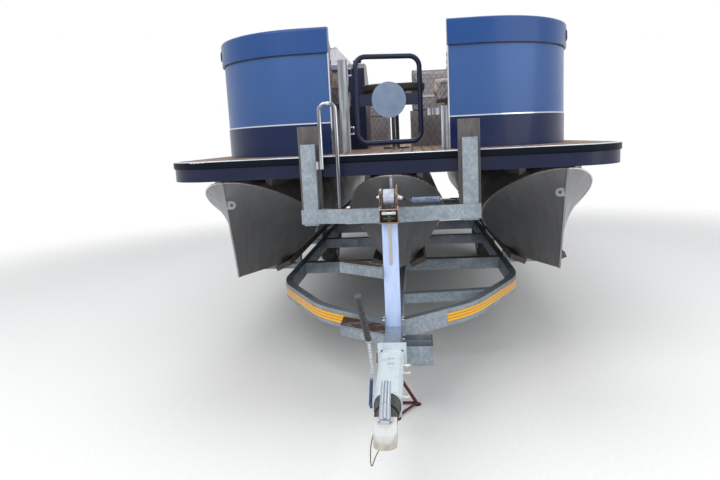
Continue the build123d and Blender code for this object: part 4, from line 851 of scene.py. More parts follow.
def top_loops(bm):
    """Closed lines round the top faces, for the piping. Dicts here, since a set's order changes from run to run."""
    top = max(v.co.z for v in bm.verts)
    flat = dict.fromkeys(f for f in bm.faces if f.normal.z > 0.9 and abs(f.calc_center_median().z - top) < 1e-4)
    edges = dict.fromkeys(e for f in flat for e in f.edges if sum(g in flat for g in e.link_faces) == 1)
    loops = []
    while edges:
        first, last = edges.popitem()[0].verts
        loop = [first, last]
        while True:
            step = next((e for e in last.link_edges if e in edges), None)
            if not step:
                break
            del edges[step]
            last = step.other_vert(last)
            if last is first:
                break
            loop.append(last)
        loops.append([v.co.copy() for v in loop])
    return loops


def resampled(loop, step):
    """Closed line with points at even spacing."""
    points = []
    for a, b in zip(loop, loop[1:] + loop[:1]):
        n = max(1, round((b - a).length / step))
        points += [a.lerp(b, i / n) for i in range(n)]
    return points


def remeshed(solid, name):
    """Even quads over a closed form, its edges rounded off."""
    piece = linked(name, meshed(name, solid))
    grid = piece.modifiers.new("grid", "REMESH")
    grid.mode = "VOXEL"
    grid.voxel_size = VOXEL
    out = opened(baked(piece))
    for _ in range(5):
        bmesh.ops.smooth_vert(out, verts=out.verts, factor=0.5, use_axis_x=True, use_axis_y=True, use_axis_z=True)
    return out


def inset_of(x, y):
    """Distance in from the fence's outer face, and the way out to it for x measured outwards."""
    x, y = abs(x), y - DECK_Y
    for r, y_corner, ahead in ((FENCE_R_BOW, FENCE_Y + FENCE_R_BOW, -1), (FENCE_R_STERN, FENCE_END - FENCE_R_STERN, 1)):
        dx, dy = x - (FENCE_X - r), (y - y_corner) * ahead
        if dx > 0 and dy > 0:
            return r - hypot(dx, dy), Vector((dx, dy * ahead)).normalized()
    sides = ((FENCE_X - x, Vector((1, 0))), (y - FENCE_Y, Vector((0, -1))), (FENCE_END - y, Vector((0, 1))))
    return min(sides, key=lambda s: s[0])


def wall_length(x, y):
    """Length along the fence up to a point, so that quilting runs on round the corners."""
    side, y = abs(x), y - DECK_Y
    r = FENCE_R_BOW - WALL - 0.06
    dx, dy = side - (FENCE_X - FENCE_R_BOW), FENCE_Y + FENCE_R_BOW - y
    if dx <= 0:
        return side
    if dy <= 0:
        return FENCE_X - FENCE_R_BOW + r * pi / 2 - dy
    return FENCE_X - FENCE_R_BOW + r * atan2(dx, dy)


def quilt_place(co, normal):
    """Where a point of a cushion lies in the quilting's own plane."""
    if abs(normal.z) > 0.7:
        return co.x * QUILT_SLIM, co.y
    if inset_of(co.x, co.y)[0] < 0.25:
        return wall_length(co.x, co.y) * QUILT_SLIM, co.z
    return (co.x if abs(normal.y) > abs(normal.x) else co.y) * QUILT_SLIM, co.z


def swell(forms):
    """One cloth run that puffs up all cushions together. Returns their moves, point by point."""
    joined = bmesh.new()
    for form in forms:
        mesh = bpy.data.meshes.new("part")
        form.to_mesh(mesh)
        joined.from_mesh(mesh)
        bpy.data.meshes.remove(mesh)
    before = [v.co.copy() for v in joined.verts]
    pads = linked("pads", meshed("pads", joined))
    cloth = pads.modifiers.new("cloth", "CLOTH")
    cloth.settings.quality = 4
    cloth.settings.use_pressure = True
    cloth.settings.uniform_pressure_force = 4
    cloth.settings.tension_stiffness = cloth.settings.compression_stiffness = 12
    cloth.settings.bending_stiffness = 1.0
    cloth.settings.effector_weights.gravity = 0
    cloth.collision_settings.use_self_collision = False
    cloth.point_cache.frame_end = SWELL_FRAMES
    for number in range(1, SWELL_FRAMES + 1):
        scene.frame_set(number)
    moves = [v.co - b for v, b in zip(baked(pads).vertices, before)]
    scene.frame_set(1)
    return [m if m.length < SWELL else m.normalized() * SWELL for m in moves]


def make_cushions(jobs, piping):
    """Upholstered cushions. A job is (name, replaced node, cutting planes, rounded corner, look)."""
    forms, loops = [], []
    for name, node, planes, corner, _ in jobs:
        solid = cut_solid(node, planes, corner)
        loops.append(top_loops(solid))
        forms.append(remeshed(solid, name))
    moves = iter(swell(forms))
    for (name, node, _, _, look), form, lines in zip(jobs, forms, loops):
        base = min(v.co.z for v in form.verts)
        flat_base = not node.endswith("backs")
        still, shift = [], []
        for v in form.verts:
            still.append(v.co.copy())
            v.co += next(moves)
            if flat_base:
                v.co.z = max(v.co.z, base + 0.0005)
            depth, out = inset_of(v.co.x, v.co.y)
            if depth < WALL:
                sign = 1 if v.co.x > 0 else -1
                v.co.x -= sign * out.x * (WALL - depth)
                v.co.y -= out.y * (WALL - depth)
            shift.append(v.co - still[-1])
        finish_cushion(name, node, form, look)
        make_piping(name, node, lines, still, shift, piping)


def pad_piece(name, mesh):
    piece = linked(name, mesh)
    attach(piece, "root")
    return piece


def finish_cushion(name, node, form, look):
    """Subdivides one cushion, presses the quilting into it and gives it its places in the pattern."""
    rough = linked(name + "_rough", meshed(name, form))
    rough.modifiers.new("smooth", "SUBSURF").levels = 1
    bm = opened(baked(rough))
    bm.normal_update()
    layer = bm.loops.layers.uv.new("quilt")
    spots = []
    for v in bm.verts:
        u, w = quilt_place(v.co, v.normal)
        spots.append((u, w))
        main = max(abs(v.normal.z), hypot(v.normal.x, v.normal.y))
        strength = max(0.0, min(1.0, (main - 0.93) / 0.06))
        lump = abs(sin(pi * (u + w) / QUILT - pi / 2) * sin(pi * (u - w) / QUILT - pi / 2))
        v.co += v.normal * PUFF * strength * (lump ** 0.55 - 1)
        v.co += v.normal * 0.0025 * noise.noise(v.co * 9)
    bm.verts.index_update()
    for face in bm.faces:
        face.smooth = True
        for loop in face.loops:
            loop[layer].uv = spots[loop.vert.index]
    mesh = meshed(name, bm)
    mesh.materials.append(look.material)
    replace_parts(pad_piece(name, mesh), node)


def mirror_cushion(name, new_name, drop):
    """The same cushion on the other side of the boat, lower by a drop."""
    mesh = bpy.data.objects[name].data.copy()
    for v in mesh.vertices:
        v.co = (-v.co.x, v.co.y, v.co.z - drop)
    mesh.flip_normals()
    pad_piece(new_name, mesh)


def make_piping(name, node, lines, points, shift, look):
    """Welt along a cushion's top edge, carried along by the swelling."""
    tree = KDTree(len(points))
    for i, co in enumerate(points):
        tree.insert(co, i)
    tree.balance()
    welt = Shape()
    for line in lines:
        path = []
        for point in resampled(line, 0.018):
            near = tree.find_n(point, 4)
            path.append(sum(((co + shift[i]) for co, i, _ in near), Vector()) / len(near))
        for _ in range(3):
            path = [(a + 2 * b + c) / 4 for a, b, c in zip([path[-1]] + path, path, path[1:] + [path[0]])]
        welt.tube(path, WELT_R, look, 8, closed=True)
    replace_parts(welt.done(name + "_piping"), node)


SEAT_CUTS = {-1: (0.98, 1.33), 1: (0.98, 1.44, 1.90)}
BACK_CUTS = {-1: (0.96, 1.33), 1: (0.96, 1.44, 2.20)}
BACK_X = 0.512         # where the side backs end at the bow gate
END_X = 0.112          # inner end of the back across the port lounge
ARM_DROP = 0.072       # the port arm sits lower
LEG_X = 0.60
HELM_X = -0.58


def lounge_rows(part, node, x, cuts):
    """Rows for the bow, middle and aft cushions of both lounges."""
    rows = []
    for side, sign in SIDES:
        x_from, x_to = (x, None) if sign > 0 else (None, -x)
        places = zip(("bow", "mid", "aft"), (None, *cuts[sign]), (*cuts[sign], None))
        rows += [(f"{part}_{side}_{where}", node, x_from, x_to, y0, y1) for where, y0, y1 in places]
    return rows


def dress_upholstery():
    leather = vinyl("upholstery", LEATHER, "uv")
    plain = vinyl("upholstery_plain", BEIGE, None)
    piping = vinyl("piping", tinted(LEATHER, 0.55), None)
    seats, backs, helm = "lounge_seats", "lounge_backs", "helm_seat_cushions"
    stern_seats, stern_backs = "stern_bench_seats", "stern_bench_backs"
    leg_y, end_y = SEAT_CUTS[1][-1], BACK_CUTS[1][-1]
    # name, node, x from and to, y from and to
    rows = lounge_rows("seat", seats, 0, SEAT_CUTS) + [
        ("seat_port_leg_out", seats, LEG_X, None, leg_y, None),
        ("seat_port_leg_in", seats, 0, LEG_X, leg_y, None),
        ("helm_seat_port", helm, HELM_X, None, None, None),
        ("helm_seat_starboard", helm, None, HELM_X, None, None),
        ("stern_seat_port", stern_seats, 0, None, None, None),
        ("stern_seat_starboard", stern_seats, None, 0, None, None),
    ] + lounge_rows("back", backs, BACK_X, BACK_CUTS) + [
        ("back_port_end", backs, END_X, None, end_y, None),
        ("back_gate_starboard", backs, -BACK_X, 0, None, 0.58),
        ("back_gate_port", backs, 0, BACK_X, None, 0.58),
        ("stern_back_port", stern_backs, 0, None, None, None),
        ("stern_back_starboard", stern_backs, None, 0, None, None),
        ("arm_starboard", backs, -BACK_X, 0, 0.585, 0.80),
    ]
    jobs = []
    for name, node, x_from, x_to, y_from, y_to in rows:
        planes = [plane for plane in (("x", x_from, 1), ("x", x_to, -1), ("y", y_from, 1), ("y", y_to, -1))
                  if plane[1] is not None]
        corner = (END_X, 0.05) if name == "back_port_end" else None
        jobs.append((name, node, planes, corner, plain if name.startswith("arm") else leather))
    make_cushions(jobs, piping)
    mirror_cushion("arm_starboard", "arm_port", ARM_DROP)


# Looks that several nodes share
ZINC = galvanised("galvanised")
BRIGHT = painted_reflection_steel()
BOLT_ZINC = steel("bolt_zinc", (0.5, 0.5, 0.48), 0.35, dirt=0.5)
BLACK = rubber("black_plastic")
SILVER = steel("silver_trim", (0.6, 0.63, 0.68), 0.14, dirt=0.15)
LEATHER = (0.235, 0.213, 0.23)
BEIGE = (0.46, 0.36, 0.29)
BAND = (0.004, 0.013, 0.062)
PANEL = (0.040, 0.100, 0.275)
CAP = (0.014, 0.062, 0.22)
GATE = (0.006, 0.012, 0.04)
FASCIA = (0.006, 0.010, 0.036)
CAST = (0.56, 0.64, 0.68)
CAST_CHIP = (0.3, 0.28, 0.26)


def dress_nodes():
    dress(float_aluminium("float_aluminium"), "float_port", "float_starboard", "motor_bracket")
    # Painted shade: the centre float gets the float material darkened to 0.72, for the shade under the deck.
    dress(float_aluminium("float_shaded", 0.72), "float_centre")
    dress(steel("deck_frame_aluminium", (0.42, 0.42, 0.43), 0.4, 0.2, 0.6), "deck_frame", "riser_rails")
    dress(deck_boards(), "deck_panel")
    dress(nosing(), "deck_nosing")
    dress(gloss_paint("fascia_navy", FASCIA, 0.6), "deck_fascia")
    dress(gloss_paint("fence_navy", BAND, 0.8), "fence_band_port", "fence_band_starboard")
    dress(gloss_paint("fence_blue", PANEL, 0.5, 0.15), "fence_panel_port", "fence_panel_starboard")
    dress(gloss_paint("cap_blue", CAP, 0.5), "fence_cap_port", "fence_cap_starboard")
    dress(gloss_paint("gate_navy", GATE, 0.4), "bow_gate", "stern_gate")
    dress(disc_paint(), "gate_disc")
    dress(BRIGHT, "gate_posts", "stern_gate_posts", "table_pedestal", "handrail", "winch_crank")
    dress(vinyl("seat_base", LEATHER, "object"), "lounge_bases", "stern_bench_bases", "helm_seat_base")
    dress(gloss_paint("console_navy", (0.012, 0.015, 0.04), 0.4), "helm_console")
    dress(glass("tinted_screen", (0.42, 0.42, 0.48)), "windscreen")
    dress(BLACK, "steering_wheel", "light_board")
    dress(gloss_paint("table_dark", (0.028, 0.024, 0.024), 0.4), "table_top")
    dress(ZINC, "drawbar", "front_frame", "chassis_rails", "cross_members", "bunk_brackets", "axle")
    dress(galvanised("rim_zinc", tint=(0.45, 0.47, 0.5), spangle=0.014), "rim_port", "rim_starboard")
    # Painted sky light: the winch post's zinc is paler and bluer than the rest of the frame's zinc.
    dress(post_zinc_painted_sky_light(), "winch_post")
    dress(galvanised("yoke_zinc", rust=0.85), "bow_stop_frame")
    dress(chequered(), "drawbar_fittings")
    dress(timber("bunk_timber", "Y", (0.13, 0.11, 0.095)), "bunks")
    dress(timber("stop_timber", "Z", (0.115, 0.105, 0.105)), "stop_timbers")
    dress(rubber("mudguard", (0.02, 0.02, 0.022), 0.8), "mudguards")
    dress(steel("zinc_yellow", (0.2, 0.13, 0.1), 0.3, dirt=0.6), "winch_frame")
    dress(webbing(), "winch_strap")
    dress(worn_paint("coupling_grey", CAST, CAST_CHIP, 0.2), "coupling_housing")
    dress(rubber("bellows", (0.03, 0.03, 0.032), 0.9), "coupling_bellows")
    dress(head_paint(), "coupling_head")
    dress(lever_look(), "brake_lever")
    dress(worn_paint("stand_red", (0.075, 0.008, 0.011), (0.1, 0.09, 0.08), 0.8), "parking_stand")


# Fence trim
def make_fence_trim():
    """Silver line over the lower band, a black strip under the cap as a painted shadow line, and bright edges at the
    gates.
    """
    for side, sign in SIDES:
        trim = Shape()
        trim.strip(fence_run(0.003, sign), BAND_TOP - 0.003, BAND_TOP + 0.004, SILVER, -sign * 0.0035)
        # Painted shadow: a black strip stands for the shade line under the cap.
        trim.strip(fence_run(0.003, sign), PANEL_TOP - 0.007, PANEL_TOP, BLACK, -sign * 0.0025)
        for face, out, half in ((FENCE_Y, -0.003, GATE_HALF), (FENCE_END, 0.003, STERN_HALF)):
            low, high = sorted((face, face + out))
            x0, x1 = sorted((sign * (half - 0.002), sign * (half + 0.006)))
            trim.box(at(x0, low, DECK_TOP + 0.002), at(x1, high, PANEL_TOP - 0.002), SILVER, 0.001)
        trim.done(f"fence_trim_{side}")


NAV_W, NAV_H = 0.018, 0.034    # half sizes of the oval
NAV_Z = PANEL_TOP + 0.07


def make_nav_lights():
    """Oval side lights on the cap, red to port and green to starboard."""
    tint = {-1: lens("lamp_green", (0.005, 0.07, 0.03)), 1: lens("lamp_red", (0.12, 0.006, 0.006))}
    for side, sign in SIDES:
        out = Vector((sign * 0.957, -0.29, 0))
        along = Vector((0, 0, 1)).cross(out)
        centre = at(sign * (FENCE_X - FENCE_R_BOW), FENCE_Y + FENCE_R_BOW, NAV_Z)
        foot = centre + out * (FENCE_R_BOW + 0.0105)
        lamp = Shape()
        for size, depth, look in ((1.0, 0.005, BLACK), (0.7, 0.008, tint[sign])):
            ring = [foot + along * (NAV_W * size * cos(a)) + Vector((0, 0, NAV_H * size * sin(a)))
                    for a in ring_angles(32)]
            lamp.plate(ring, out * depth, look, 0.0018)
        lamp.done(f"nav_light_{side}")


# Marking tape on the trailer's front frame
FRAME_LINE = ((0.005, -0.150), (0.440, 0.205), (0.785, 0.850), (0.785, 1.100))
FRAME_BEND = 0.700
FRAME_FACE = 0.0254    # from its middle line to its outer face


def make_marking():
    amber = mark_tape()
    for side, sign, first in (("starboard", -1, 0.19), ("port", 1, 0.27)):
        line = rounded(FRAME_LINE, FRAME_BEND)
        while line[1][0] <= first:
            line.pop(0)
        (x0, y0), (x1, y1) = line[:2]
        line[0] = (first, y0 + (y1 - y0) * (first - x0) / (x1 - x0))
        line = [(sign * x, y) for x, y in line]
        tape = Shape()
        tape.strip(shifted(line, -sign * FRAME_FACE), TAPE_LOW, TAPE_LOW + TAPE_H, amber, -sign * 0.0016)
        tape.done(f"marking_{side}")


# Floats: weld beads where each skin meets its nose
NOSES = (("port", TUBE_X, 0.130), ("starboard", -TUBE_X, 0.130), ("centre", 0.0, 0.185))
NOSE_RAKE = 0.205      # the stem leans back by this from deck to keel
NOSE_RUN, NOSE_RUN_KEEL = 0.300, 1.850     # length of the nose at the deck and at the keel


def make_welds():
    bead = steel("weld_bead", (0.85, 0.82, 0.78), 0.2, dirt=0.15)
    r = TUBE_R + 0.002
    for side, x, stem in NOSES:
        line = []
        for degrees in range(-120, 121, 5):
            a = radians(degrees)
            down = (1 - cos(a)) / 2
            run = NOSE_RUN + (NOSE_RUN_KEEL - NOSE_RUN) * down
            y = stem - 0.003 + NOSE_RAKE * down + run * abs(sin(a)) / 1.04
            line.append(at(x + r * sin(a), y, TUBE_Z + r * cos(a)))
        weld = Shape()
        weld.tube(line, 0.0045, bead, 8)
        weld.done("nose_weld_" + side)


# Wheels. Half of the tyre's section: along the axle, radius, and 1 for shoulder blocks or 2 for sipes
TREAD = ((-0.0755, 0.159, 0), (-0.0900, 0.171, 0), (-0.0960, 0.186, 0), (-0.0975, 0.206, 0), (-0.0962, 0.224, 0),
         (-0.0925, 0.238, 0), (-0.0915, 0.2405, 1), (-0.0850, 0.2495, 1), (-0.0740, 0.2560, 1), (-0.0600, 0.2592, 1),
         (-0.0450, 0.2606, 0), (-0.0435, 0.2535, 0), (-0.0365, 0.2535, 0), (-0.0350, 0.2612, 0), (-0.0210, 0.2622, 2),
         (-0.0055, 0.2625, 0), (-0.0040, 0.2550, 0))
TREAD_CUTS = {0: (1, 0.0), 1: (4, 0.0055), 2: (3, 0.003)}  # every so many steps, and how deep
TREAD_STEPS = 168


def make_tyre(side, sign):
    """Tyre with three grooves, slotted shoulder blocks and sipes."""
    rings = []
    for along, r, kind in TREAD + tuple((-a, r, kind) for a, r, kind in reversed(TREAD)):
        every, deep = TREAD_CUTS[kind]
        radii = [r if i % every else r - deep for i in range(TREAD_STEPS)]
        rings.append([at(sign * (TYRE_X + along), AXLE_Y + radius * cos(a), TYRE_R + radius * sin(a))
                      for radius, a in zip(radii, ring_angles(TREAD_STEPS))])
    tyre = Shape()
    tyre.skin(rings, rubber("tyre_" + side, (0.016, 0.016, 0.017), 0.7), closed=True)
    piece = tyre.done("tyre_tread_" + side, "wheel_" + side)
    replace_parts(piece, "tyre_" + side)


HUB_CAP = ((0.045, 0.040), (0.049, 0.040), (0.056, 0.033), (0.060, 0.018), (0.061, 0.004))
VENT_RIM = ((0, 0.019), (0.0024, 0.0178), (0.0022, 0.0162), (0, 0.0162))
VENT_HOLE = ((0, 0.0165), (0.0012, 0.0165))
VENTS, VENT_CIRCLE, VENT_DEPTH = 8, 0.108, 0.0303
NUTS, NUT_CIRCLE, NUT_DEPTH = 5, 0.074, 0.0215


def make_wheel_fittings(side, sign):
    """Vent holes, nuts, hub cap and valve on the rim's dish."""
    dark = rubber("vent_shadow", (0.008, 0.008, 0.008), 0.3)
    face = Vector((sign, 0, 0))
    centre = at(sign * TYRE_X, AXLE_Y, TYRE_R)

    def spot(r, angle, along):
        return centre + Vector((sign * along, r * cos(angle), r * sin(angle)))

    wheel = Shape()
    for i in range(VENTS):
        a = 2 * pi * (i + 0.5) / VENTS
        slope = (face * 0.97 - (spot(1, a, 0) - centre) * 0.25).normalized()
        place = spot(VENT_CIRCLE, a, VENT_DEPTH)
        wheel.lathe(VENT_HOLE, place, slope, dark, 24)
        wheel.lathe(VENT_RIM, place, slope, BOLT_ZINC, 24, closed=True)
    for a in ring_angles(NUTS):
        wheel.bolt(spot(NUT_CIRCLE, a, NUT_DEPTH), face, 0.0095, BOLT_ZINC)
    wheel.lathe(HUB_CAP, centre, face, BOLT_ZINC, 40)
    wheel.bar(spot(0.138, 0.6, 0.038), spot(0.128, 0.6, 0.062), 0.0035, BLACK, sides=12, lip=0.001)
    wheel.done("wheel_fittings_" + side, "wheel_" + side)


# Breakaway cable: its route in millimetres, as in the model
CABLE = ((-57, -985, 380), (-57, -985, 352), (-57, -1006, 334), (-57, -1044, 330), (-57, -1090, 336),
         (-58, -1138, 343), (-59, -1186, 342), (-58, -1226, 331), (-57, -1242, 304), (-55, -1222, 282),
         (-52, -1180, 274), (-49, -1130, 268), (-45, -1080, 257), (-41, -1032, 243), (-38, -988, 232),
         (-34, -950, 238), (-31, -930, 266), (-30, -920, 303), (-30, -918, 340), (-30, -918, 375))
CABLE_D = 0.004


def make_cable():
    """The breakaway cable. The points of its bare line are taken before it gets its thickness, and are not used."""
    curve = bpy.data.curves.new("breakaway", "CURVE")
    curve.dimensions = "3D"
    curve.bevel_resolution = 4
    curve.resolution_u = 8
    curve.use_fill_caps = True
    line = curve.splines.new("NURBS")
    line.points.add(len(CABLE) - 1)
    for point, place in zip(line.points, CABLE):
        point.co = (*at(*(c / 1000 for c in place)), 1)
    line.order_u = 3
    line.use_endpoint_u = True
    bare = [v.co.copy() for v in baked(linked("bare", curve.copy())).vertices]
    curve.bevel_depth = CABLE_D / 2
    curve.materials.append(rubber("cable_sheath", (0.09, 0.065, 0.04), 0.6).material)
    cable = linked("breakaway_wire", curve)
    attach(cable, "root")
    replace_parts(cable, "breakaway_cable")


# Winch
DRUM_Z = MAST_TOP + 0.062
CRANK_Y, CRANK_Z = MAST_Y - 0.144, DRUM_Z - 0.006
GRIP = ((0.0, 0.0135), (0.002, 0.0148), (0.010, 0.0148), (0.013, 0.0132), (0.030, 0.0132), (0.050, 0.0140),
        (0.080, 0.0140), (0.104, 0.0132), (0.119, 0.0132), (0.122, 0.0146), (0.130, 0.0146), (0.134, 0.0100))
EYE_Y = 0.164          # link on the centre float's bow eye


def make_winch():
    """Gears and bolts on the winch's cheeks, and the bracket box ahead of the post."""
    brass = steel("gear_zinc", (0.3, 0.2, 0.15), 0.3, dirt=0.6)
    winch = Shape()
    # left face, y and z from the drum's axle, radius, teeth, thickness
    for x, dy, dz, r, teeth, thick in ((0.0385, 0, 0, 0.047, 34, 0.006), (0.0385, -0.0245, 0.050, 0.012, 10, 0.007),
                                       (-0.0475, 0, 0, 0.042, 30, 0.004)):
        outline = []
        for i, a in enumerate(ring_angles(teeth * 4)):
            radius = r if i % 4 in (1, 2) else r * (1 - 1.6 / teeth)
            outline.append(at(x, MAST_Y + dy + radius * cos(a), DRUM_Z + dz + radius * sin(a)))
        winch.plate(outline, (thick, 0, 0), brass)
    for x, out in ((0.045, 1), (-0.0475, -1)):
        winch.bolt(at(x, MAST_Y, DRUM_Z), (out, 0, 0), 0.010, BOLT_ZINC)
    for sign in (-1, 1):
        for y, z in ((-0.036, 0.012), (0.036, 0.012), (-0.025, 0.098), (0.018, 0.098)):
            winch.bolt(at(sign * 0.038, MAST_Y + y, MAST_TOP + z), (sign, 0, 0), 0.005, BOLT_ZINC, False)

    def near(x, y, z):
        """A point measured from the box's middle, its rear face and the post's top."""
        return at(x, MAST_Y - 0.041 + y, MAST_TOP + z)

    winch.bar(near(-0.046, -0.036, 0.006), near(0.046, -0.036, 0.006), 0.004, brass, lip=0.001)
    winch.box(near(-0.050, -0.052, -0.062), near(0.050, 0, -0.055), brass, 0.001)
    winch.box(near(-0.044, -0.004, -0.055), near(0.044, 0, 0), BLACK, 0.001)
    cheek = ((0, -0.055), (0, 0.024), (-0.020, 0.024), (-0.046, 0.002), (-0.046, -0.055))
    for x in (-0.048, 0.044):
        winch.plate([near(x, y, z) for y, z in cheek], (0.004, 0, 0), brass, 0.001)
    for x, z, r, look in ((0.036, -0.014, 0.009, SILVER), (0.030, -0.040, 0.008, BLACK)):
        winch.bar(near(-x, -0.028, z), near(x, -0.028, z), r, look, lip=0.002)
    for x in (-0.030, 0.014):
        winch.box(near(x, -0.044, -0.012), near(x + 0.016, -0.034, -0.002), SILVER, 0.002)
    winch.done("winch_gears")

    handle = Shape()
    handle.lathe(GRIP, at(0.117, CRANK_Y, CRANK_Z), (1, 0, 0), crank_grip(), 28)
    handle.bolt(at(0.251, CRANK_Y, CRANK_Z), (1, 0, 0), 0.005, BOLT_ZINC)
    handle.done("crank_handle")

    eye = Shape()
    top = TUBE_TOP + 0.004
    eye.box(at(-0.007, EYE_Y, TUBE_TOP - 0.088), at(0.007, EYE_Y + 0.006, top), SILVER, 0.0015)
    eye.bar(at(0, EYE_Y + 0.003, top), at(0, EYE_Y + 0.003, top + 0.010), 0.004, BLACK, lip=0.001)
    eye.bolt(at(0, EYE_Y, top - 0.012), (0, -1, 0), 0.006, BOLT_ZINC)
    eye.done("bow_eye_link")


ROLL_X, ROLL_R = 0.0268, 0.0155        # side and inner radius of the strap's roll
TURNS, TURN_STEP = 7, 0.0036


def make_strap_layers():
    """Edges of the strap's turns on the drum."""
    roll = Shape()
    weave = webbing()
    for sign in (-1, 1):
        for i in range(TURNS):
            r = ROLL_R + i * TURN_STEP
            roll.lathe([(0, r), (0.0008, r + 0.0004), (0.0008, r + 0.0019), (0, r + 0.0023)],
                       at(sign * ROLL_X, MAST_Y, DRUM_Z), (sign, 0, 0), weave, 40, closed=True)
    roll.done("strap_turns")


# Winch post
GUSSET_X = 0.0442      # outer face of the plates at its foot
HANGER = ((-0.007, 1.068), (-0.007, 0.826), (-0.004, 0.819), (0.004, 0.819), (0.007, 0.826), (0.007, 1.068))
POST_LEAN = 0.025 / (MAST_TOP - FRAME_TOP)


def make_post_fittings():
    plate_zinc = galvanised("plate_zinc", rust=0.4)
    post = Shape()
    for sign in (-1, 1):
        x0, x1 = sorted((sign * (GUSSET_X - 0.005), sign * GUSSET_X))
        post.box(at(x0, -0.270, 0.412), at(x1, -0.160, 0.560), plate_zinc, 0.001)
        for y, z in ((-0.248, 0.430), (-0.182, 0.430), (-0.240, 0.530), (-0.190, 0.530)):
            post.bolt(at(sign * GUSSET_X, y, z), (sign, 0, 0), 0.008, BOLT_ZINC)
    post.done("post_fittings")

    hanger = Shape()
    gilt = steel("hanger_steel", (0.5, 0.44, 0.36), 0.35)
    hanger.plate([at(x, MAST_Y - 0.0395 + POST_LEAN * (z - MAST_TOP), z) for x, z in HANGER], (0, -0.005, 0),
                 gilt, 0.001)
    hanger.done("post_hanger")


# Coupling
BOLT_Z = 0.440
HOUSING_BOLTS = (-0.64, -0.73, -0.98)
CUFF_Y = -1.030        # rear end of the bellows' folds
FOLD = 0.017
LATCH = ((-1.237, 0.4705, 0.0185), (-1.178, 0.5025, 0.0168), (-1.054, 0.5340, 0.0162))  # y, z, half width


def make_coupling_fittings():
    cast = worn_paint("coupling_cast", CAST, CAST_CHIP, 0.2)
    bare = steel("handle_steel", (0.36, 0.4, 0.45), 0.38, dirt=0.4)
    ribs = Shape()
    for y in HOUSING_BOLTS:
        ribs.bar(at(0.052, y, BOLT_Z), at(0.088, y, BOLT_Z), 0.006, BOLT_ZINC, lip=0.001)
        ribs.bolt(at(0.054, y, BOLT_Z), (1, 0, 0), 0.011, BOLT_ZINC)
        ribs.lathe([(0, 0.010), (0.010, 0.010), (0.011, 0.008)], at(0.068, y, BOLT_Z), (1, 0, 0), BOLT_ZINC, 6)
    ribs.box(at(-0.057, -0.510, 0.373), at(0.057, -0.490, 0.471), cast, 0.004)
    ribs.done("coupling_fittings")

    cuff = Shape()
    profile = [(0.0, 0.044)]
    for i in range(5):
        r, y = 0.0535 - 0.0016 * i, FOLD * i
        profile += [(y + 0.003, r), (y + 0.009, r), (y + 0.013, r - 0.009)]
    cuff.lathe(profile + [(0.086, 0.0435)], at(0, CUFF_Y, COUPLER_Z), (0, -1, 0), cuff_rubber(), 48)
    cuff.done("bellows_cuff")

    handle = Shape()
    for (y0, z0, w0), (y1, z1, w1) in zip(LATCH, LATCH[1:]):
        up = Vector((0, z0 - z1, y1 - y0)).normalized() * 0.002
        handle.plate([at(-w0, y0, z0), at(w0, y0, z0), at(w1, y1, z1), at(-w1, y1, z1)], up, bare)
        handle.bar(at(0, y0, z0), at(0, y1, z1), 0.009, bare)
        for sign in (-1, 1):
            handle.bar(at(sign * w0, y0, z0) + up, at(sign * w1, y1, z1) + up, 0.003, bare, sides=10)
    handle.bar(at(-0.026, -1.226, 0.462), at(0.026, -1.226, 0.462), 0.005, BOLT_ZINC, lip=0.001)
    handle.done("coupling_handle")


STAND_Y = -0.15
STAND_CRANK = ((-0.052, 0.335), (-0.090, 0.330), (-0.098, 0.318), (-0.100, 0.270))     # x, z


def make_stand_crank():
    """Crank that winds the stand under the drawbar."""
    iron = worn_paint("handle_iron", (0.2, 0.2, 0.2), wear=0.7)
    crank = Shape()
    crank.tube([at(x, STAND_Y, z) for x, z in STAND_CRANK], 0.006, iron, 12)
    crank.done("stand_handle")


# Helm
DASH_Y = 1.930         # front edge of the dash
DASH_SLOPE = Vector((0, 0.32, -0.19)).normalized()
DASH_OUT = Vector((0, 0.19, 0.32)).normalized()
GAUGES = ((-0.92, 0.038, 0.10), (-0.80, 0.045, 0.10), (-0.635, 0.058, 0.09), (-0.47, 0.045, 0.10),
          (-0.36, 0.038, 0.10))        # x, radius, place down the dash


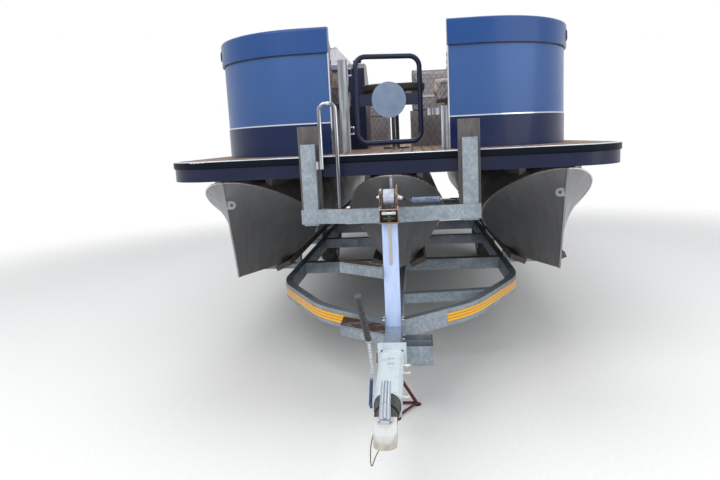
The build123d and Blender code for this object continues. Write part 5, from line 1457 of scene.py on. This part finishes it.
def make_helm():
    dial = gloss_paint("dial_face", (0.01, 0.01, 0.012), 0.1)
    mark = gloss_paint("dial_marks", (0.75, 0.75, 0.72), 0.1)
    needle = gloss_paint("needle_red", (0.5, 0.03, 0.02), 0.1)
    origin = at(0, DASH_Y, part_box("helm_console")[1][2])

    def ray(degrees):
        return Vector((1, 0, 0)) * cos(radians(degrees)) - DASH_SLOPE * sin(radians(degrees))

    dash = Shape()
    for x, r, along in GAUGES:
        centre = origin + DASH_SLOPE * along + Vector((x, 0, 0))
        bezel = [(-0.004, r), (0.004, r), (0.006, r - 0.003), (0.006, r - 0.006), (0.002, r - 0.008)]
        dash.lathe(bezel, centre, DASH_OUT, SILVER, 40)
        dash.lathe([(0.0, r - 0.0075), (0.0026, r - 0.0075)], centre, DASH_OUT, dial, 40)
        for i in range(11):
            root, tip = (centre + ray(225 - 27 * i) * (r - inset) + DASH_OUT * 0.003 for inset in (0.015, 0.010))
            dash.bar(root, tip, 0.0007, mark, sides=6)
        foot = centre + DASH_OUT * 0.004
        dash.bar(foot, foot + ray(150) * (r - 0.014), 0.0010, needle, sides=6)
        dash.lathe([(0.002, 0.004), (0.006, 0.0035)], centre, DASH_OUT, BLACK, 16)
    for i in range(6):
        place = origin + DASH_SLOPE * 0.24 + Vector((-0.95 + i * 0.035, 0, 0))
        dash.box(place - Vector((0.011, 0.008, 0.004)), place + Vector((0.011, 0.008, 0.010)), BLACK, 0.002)
    dash.done("dash_gauges")

    throttle = Shape()
    foot = origin + DASH_SLOPE * 0.20 + Vector((-0.325, 0, 0))
    throttle.box(foot - Vector((0.028, 0.05, 0.02)), foot + Vector((0.028, 0.05, 0.05)), BLACK, 0.012)
    throttle.bar(foot + Vector((0, 0, 0.03)), foot + Vector((0, -0.05, 0.15)), 0.007, BRIGHT, lip=0.001)
    throttle.bar(foot + Vector((-0.03, -0.052, 0.155)), foot + Vector((0.04, -0.052, 0.155)), 0.014, BLACK, lip=0.006)
    throttle.done("throttle")

    (x0, _, _), (x1, y, z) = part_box("windscreen")
    edge = Shape()
    edge.tube([(x0, y - 0.003, z - 0.004), (x1 - 0.12, y - 0.003, z - 0.004)], 0.005, BRIGHT, 12)
    edge.done("screen_edge")


# Light board
LAMP_END = 0.870       # outer end of each lamp cluster
LENSES = ((0.0, 0.066, "lens_amber", (0.6, 0.2, 0.01)), (0.068, 0.152, "lens_red", (0.42, 0.015, 0.012)),
          (0.154, 0.220, "lens_clear", (0.7, 0.7, 0.7)))       # start and end, from the outer end inwards


def make_rear_lamps():
    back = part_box("light_board")[1][1]
    lenses = [(start, end, lens(name, colour)) for start, end, name, colour in LENSES]
    lamps = Shape()
    for sign in (-1, 1):
        for start, end, look in lenses:
            x0, x1 = sorted((sign * (LAMP_END - start - 0.004), sign * (LAMP_END - end + 0.004)))
            lamps.box((x0, back - 0.004, FRAME_TOP - 0.079), (x1, back + 0.006, FRAME_TOP - 0.001), look, 0.004)
    lamps.done("rear_lamps")
    plate = Shape()
    plate.box((-0.255, back - 0.0415, FRAME_TOP - 0.112), (0.255, back - 0.0395, FRAME_TOP - 0.008),
              gloss_paint("plate_white", (0.7, 0.7, 0.68), 0.3), 0.0008)
    plate.done("blank_plate")


make_camera()
make_cable()
make_world()
make_floor()
make_lamps()
dress_nodes()
dress_upholstery()
make_fence_trim()
make_nav_lights()
make_marking()
make_welds()
for wheel_side, wheel_sign in (("port", 1), ("starboard", -1)):
    make_tyre(wheel_side, wheel_sign)
    make_wheel_fittings(wheel_side, wheel_sign)
make_winch()
make_strap_layers()
make_post_fittings()
make_coupling_fittings()
make_stand_crank()
make_helm()
make_rear_lamps()
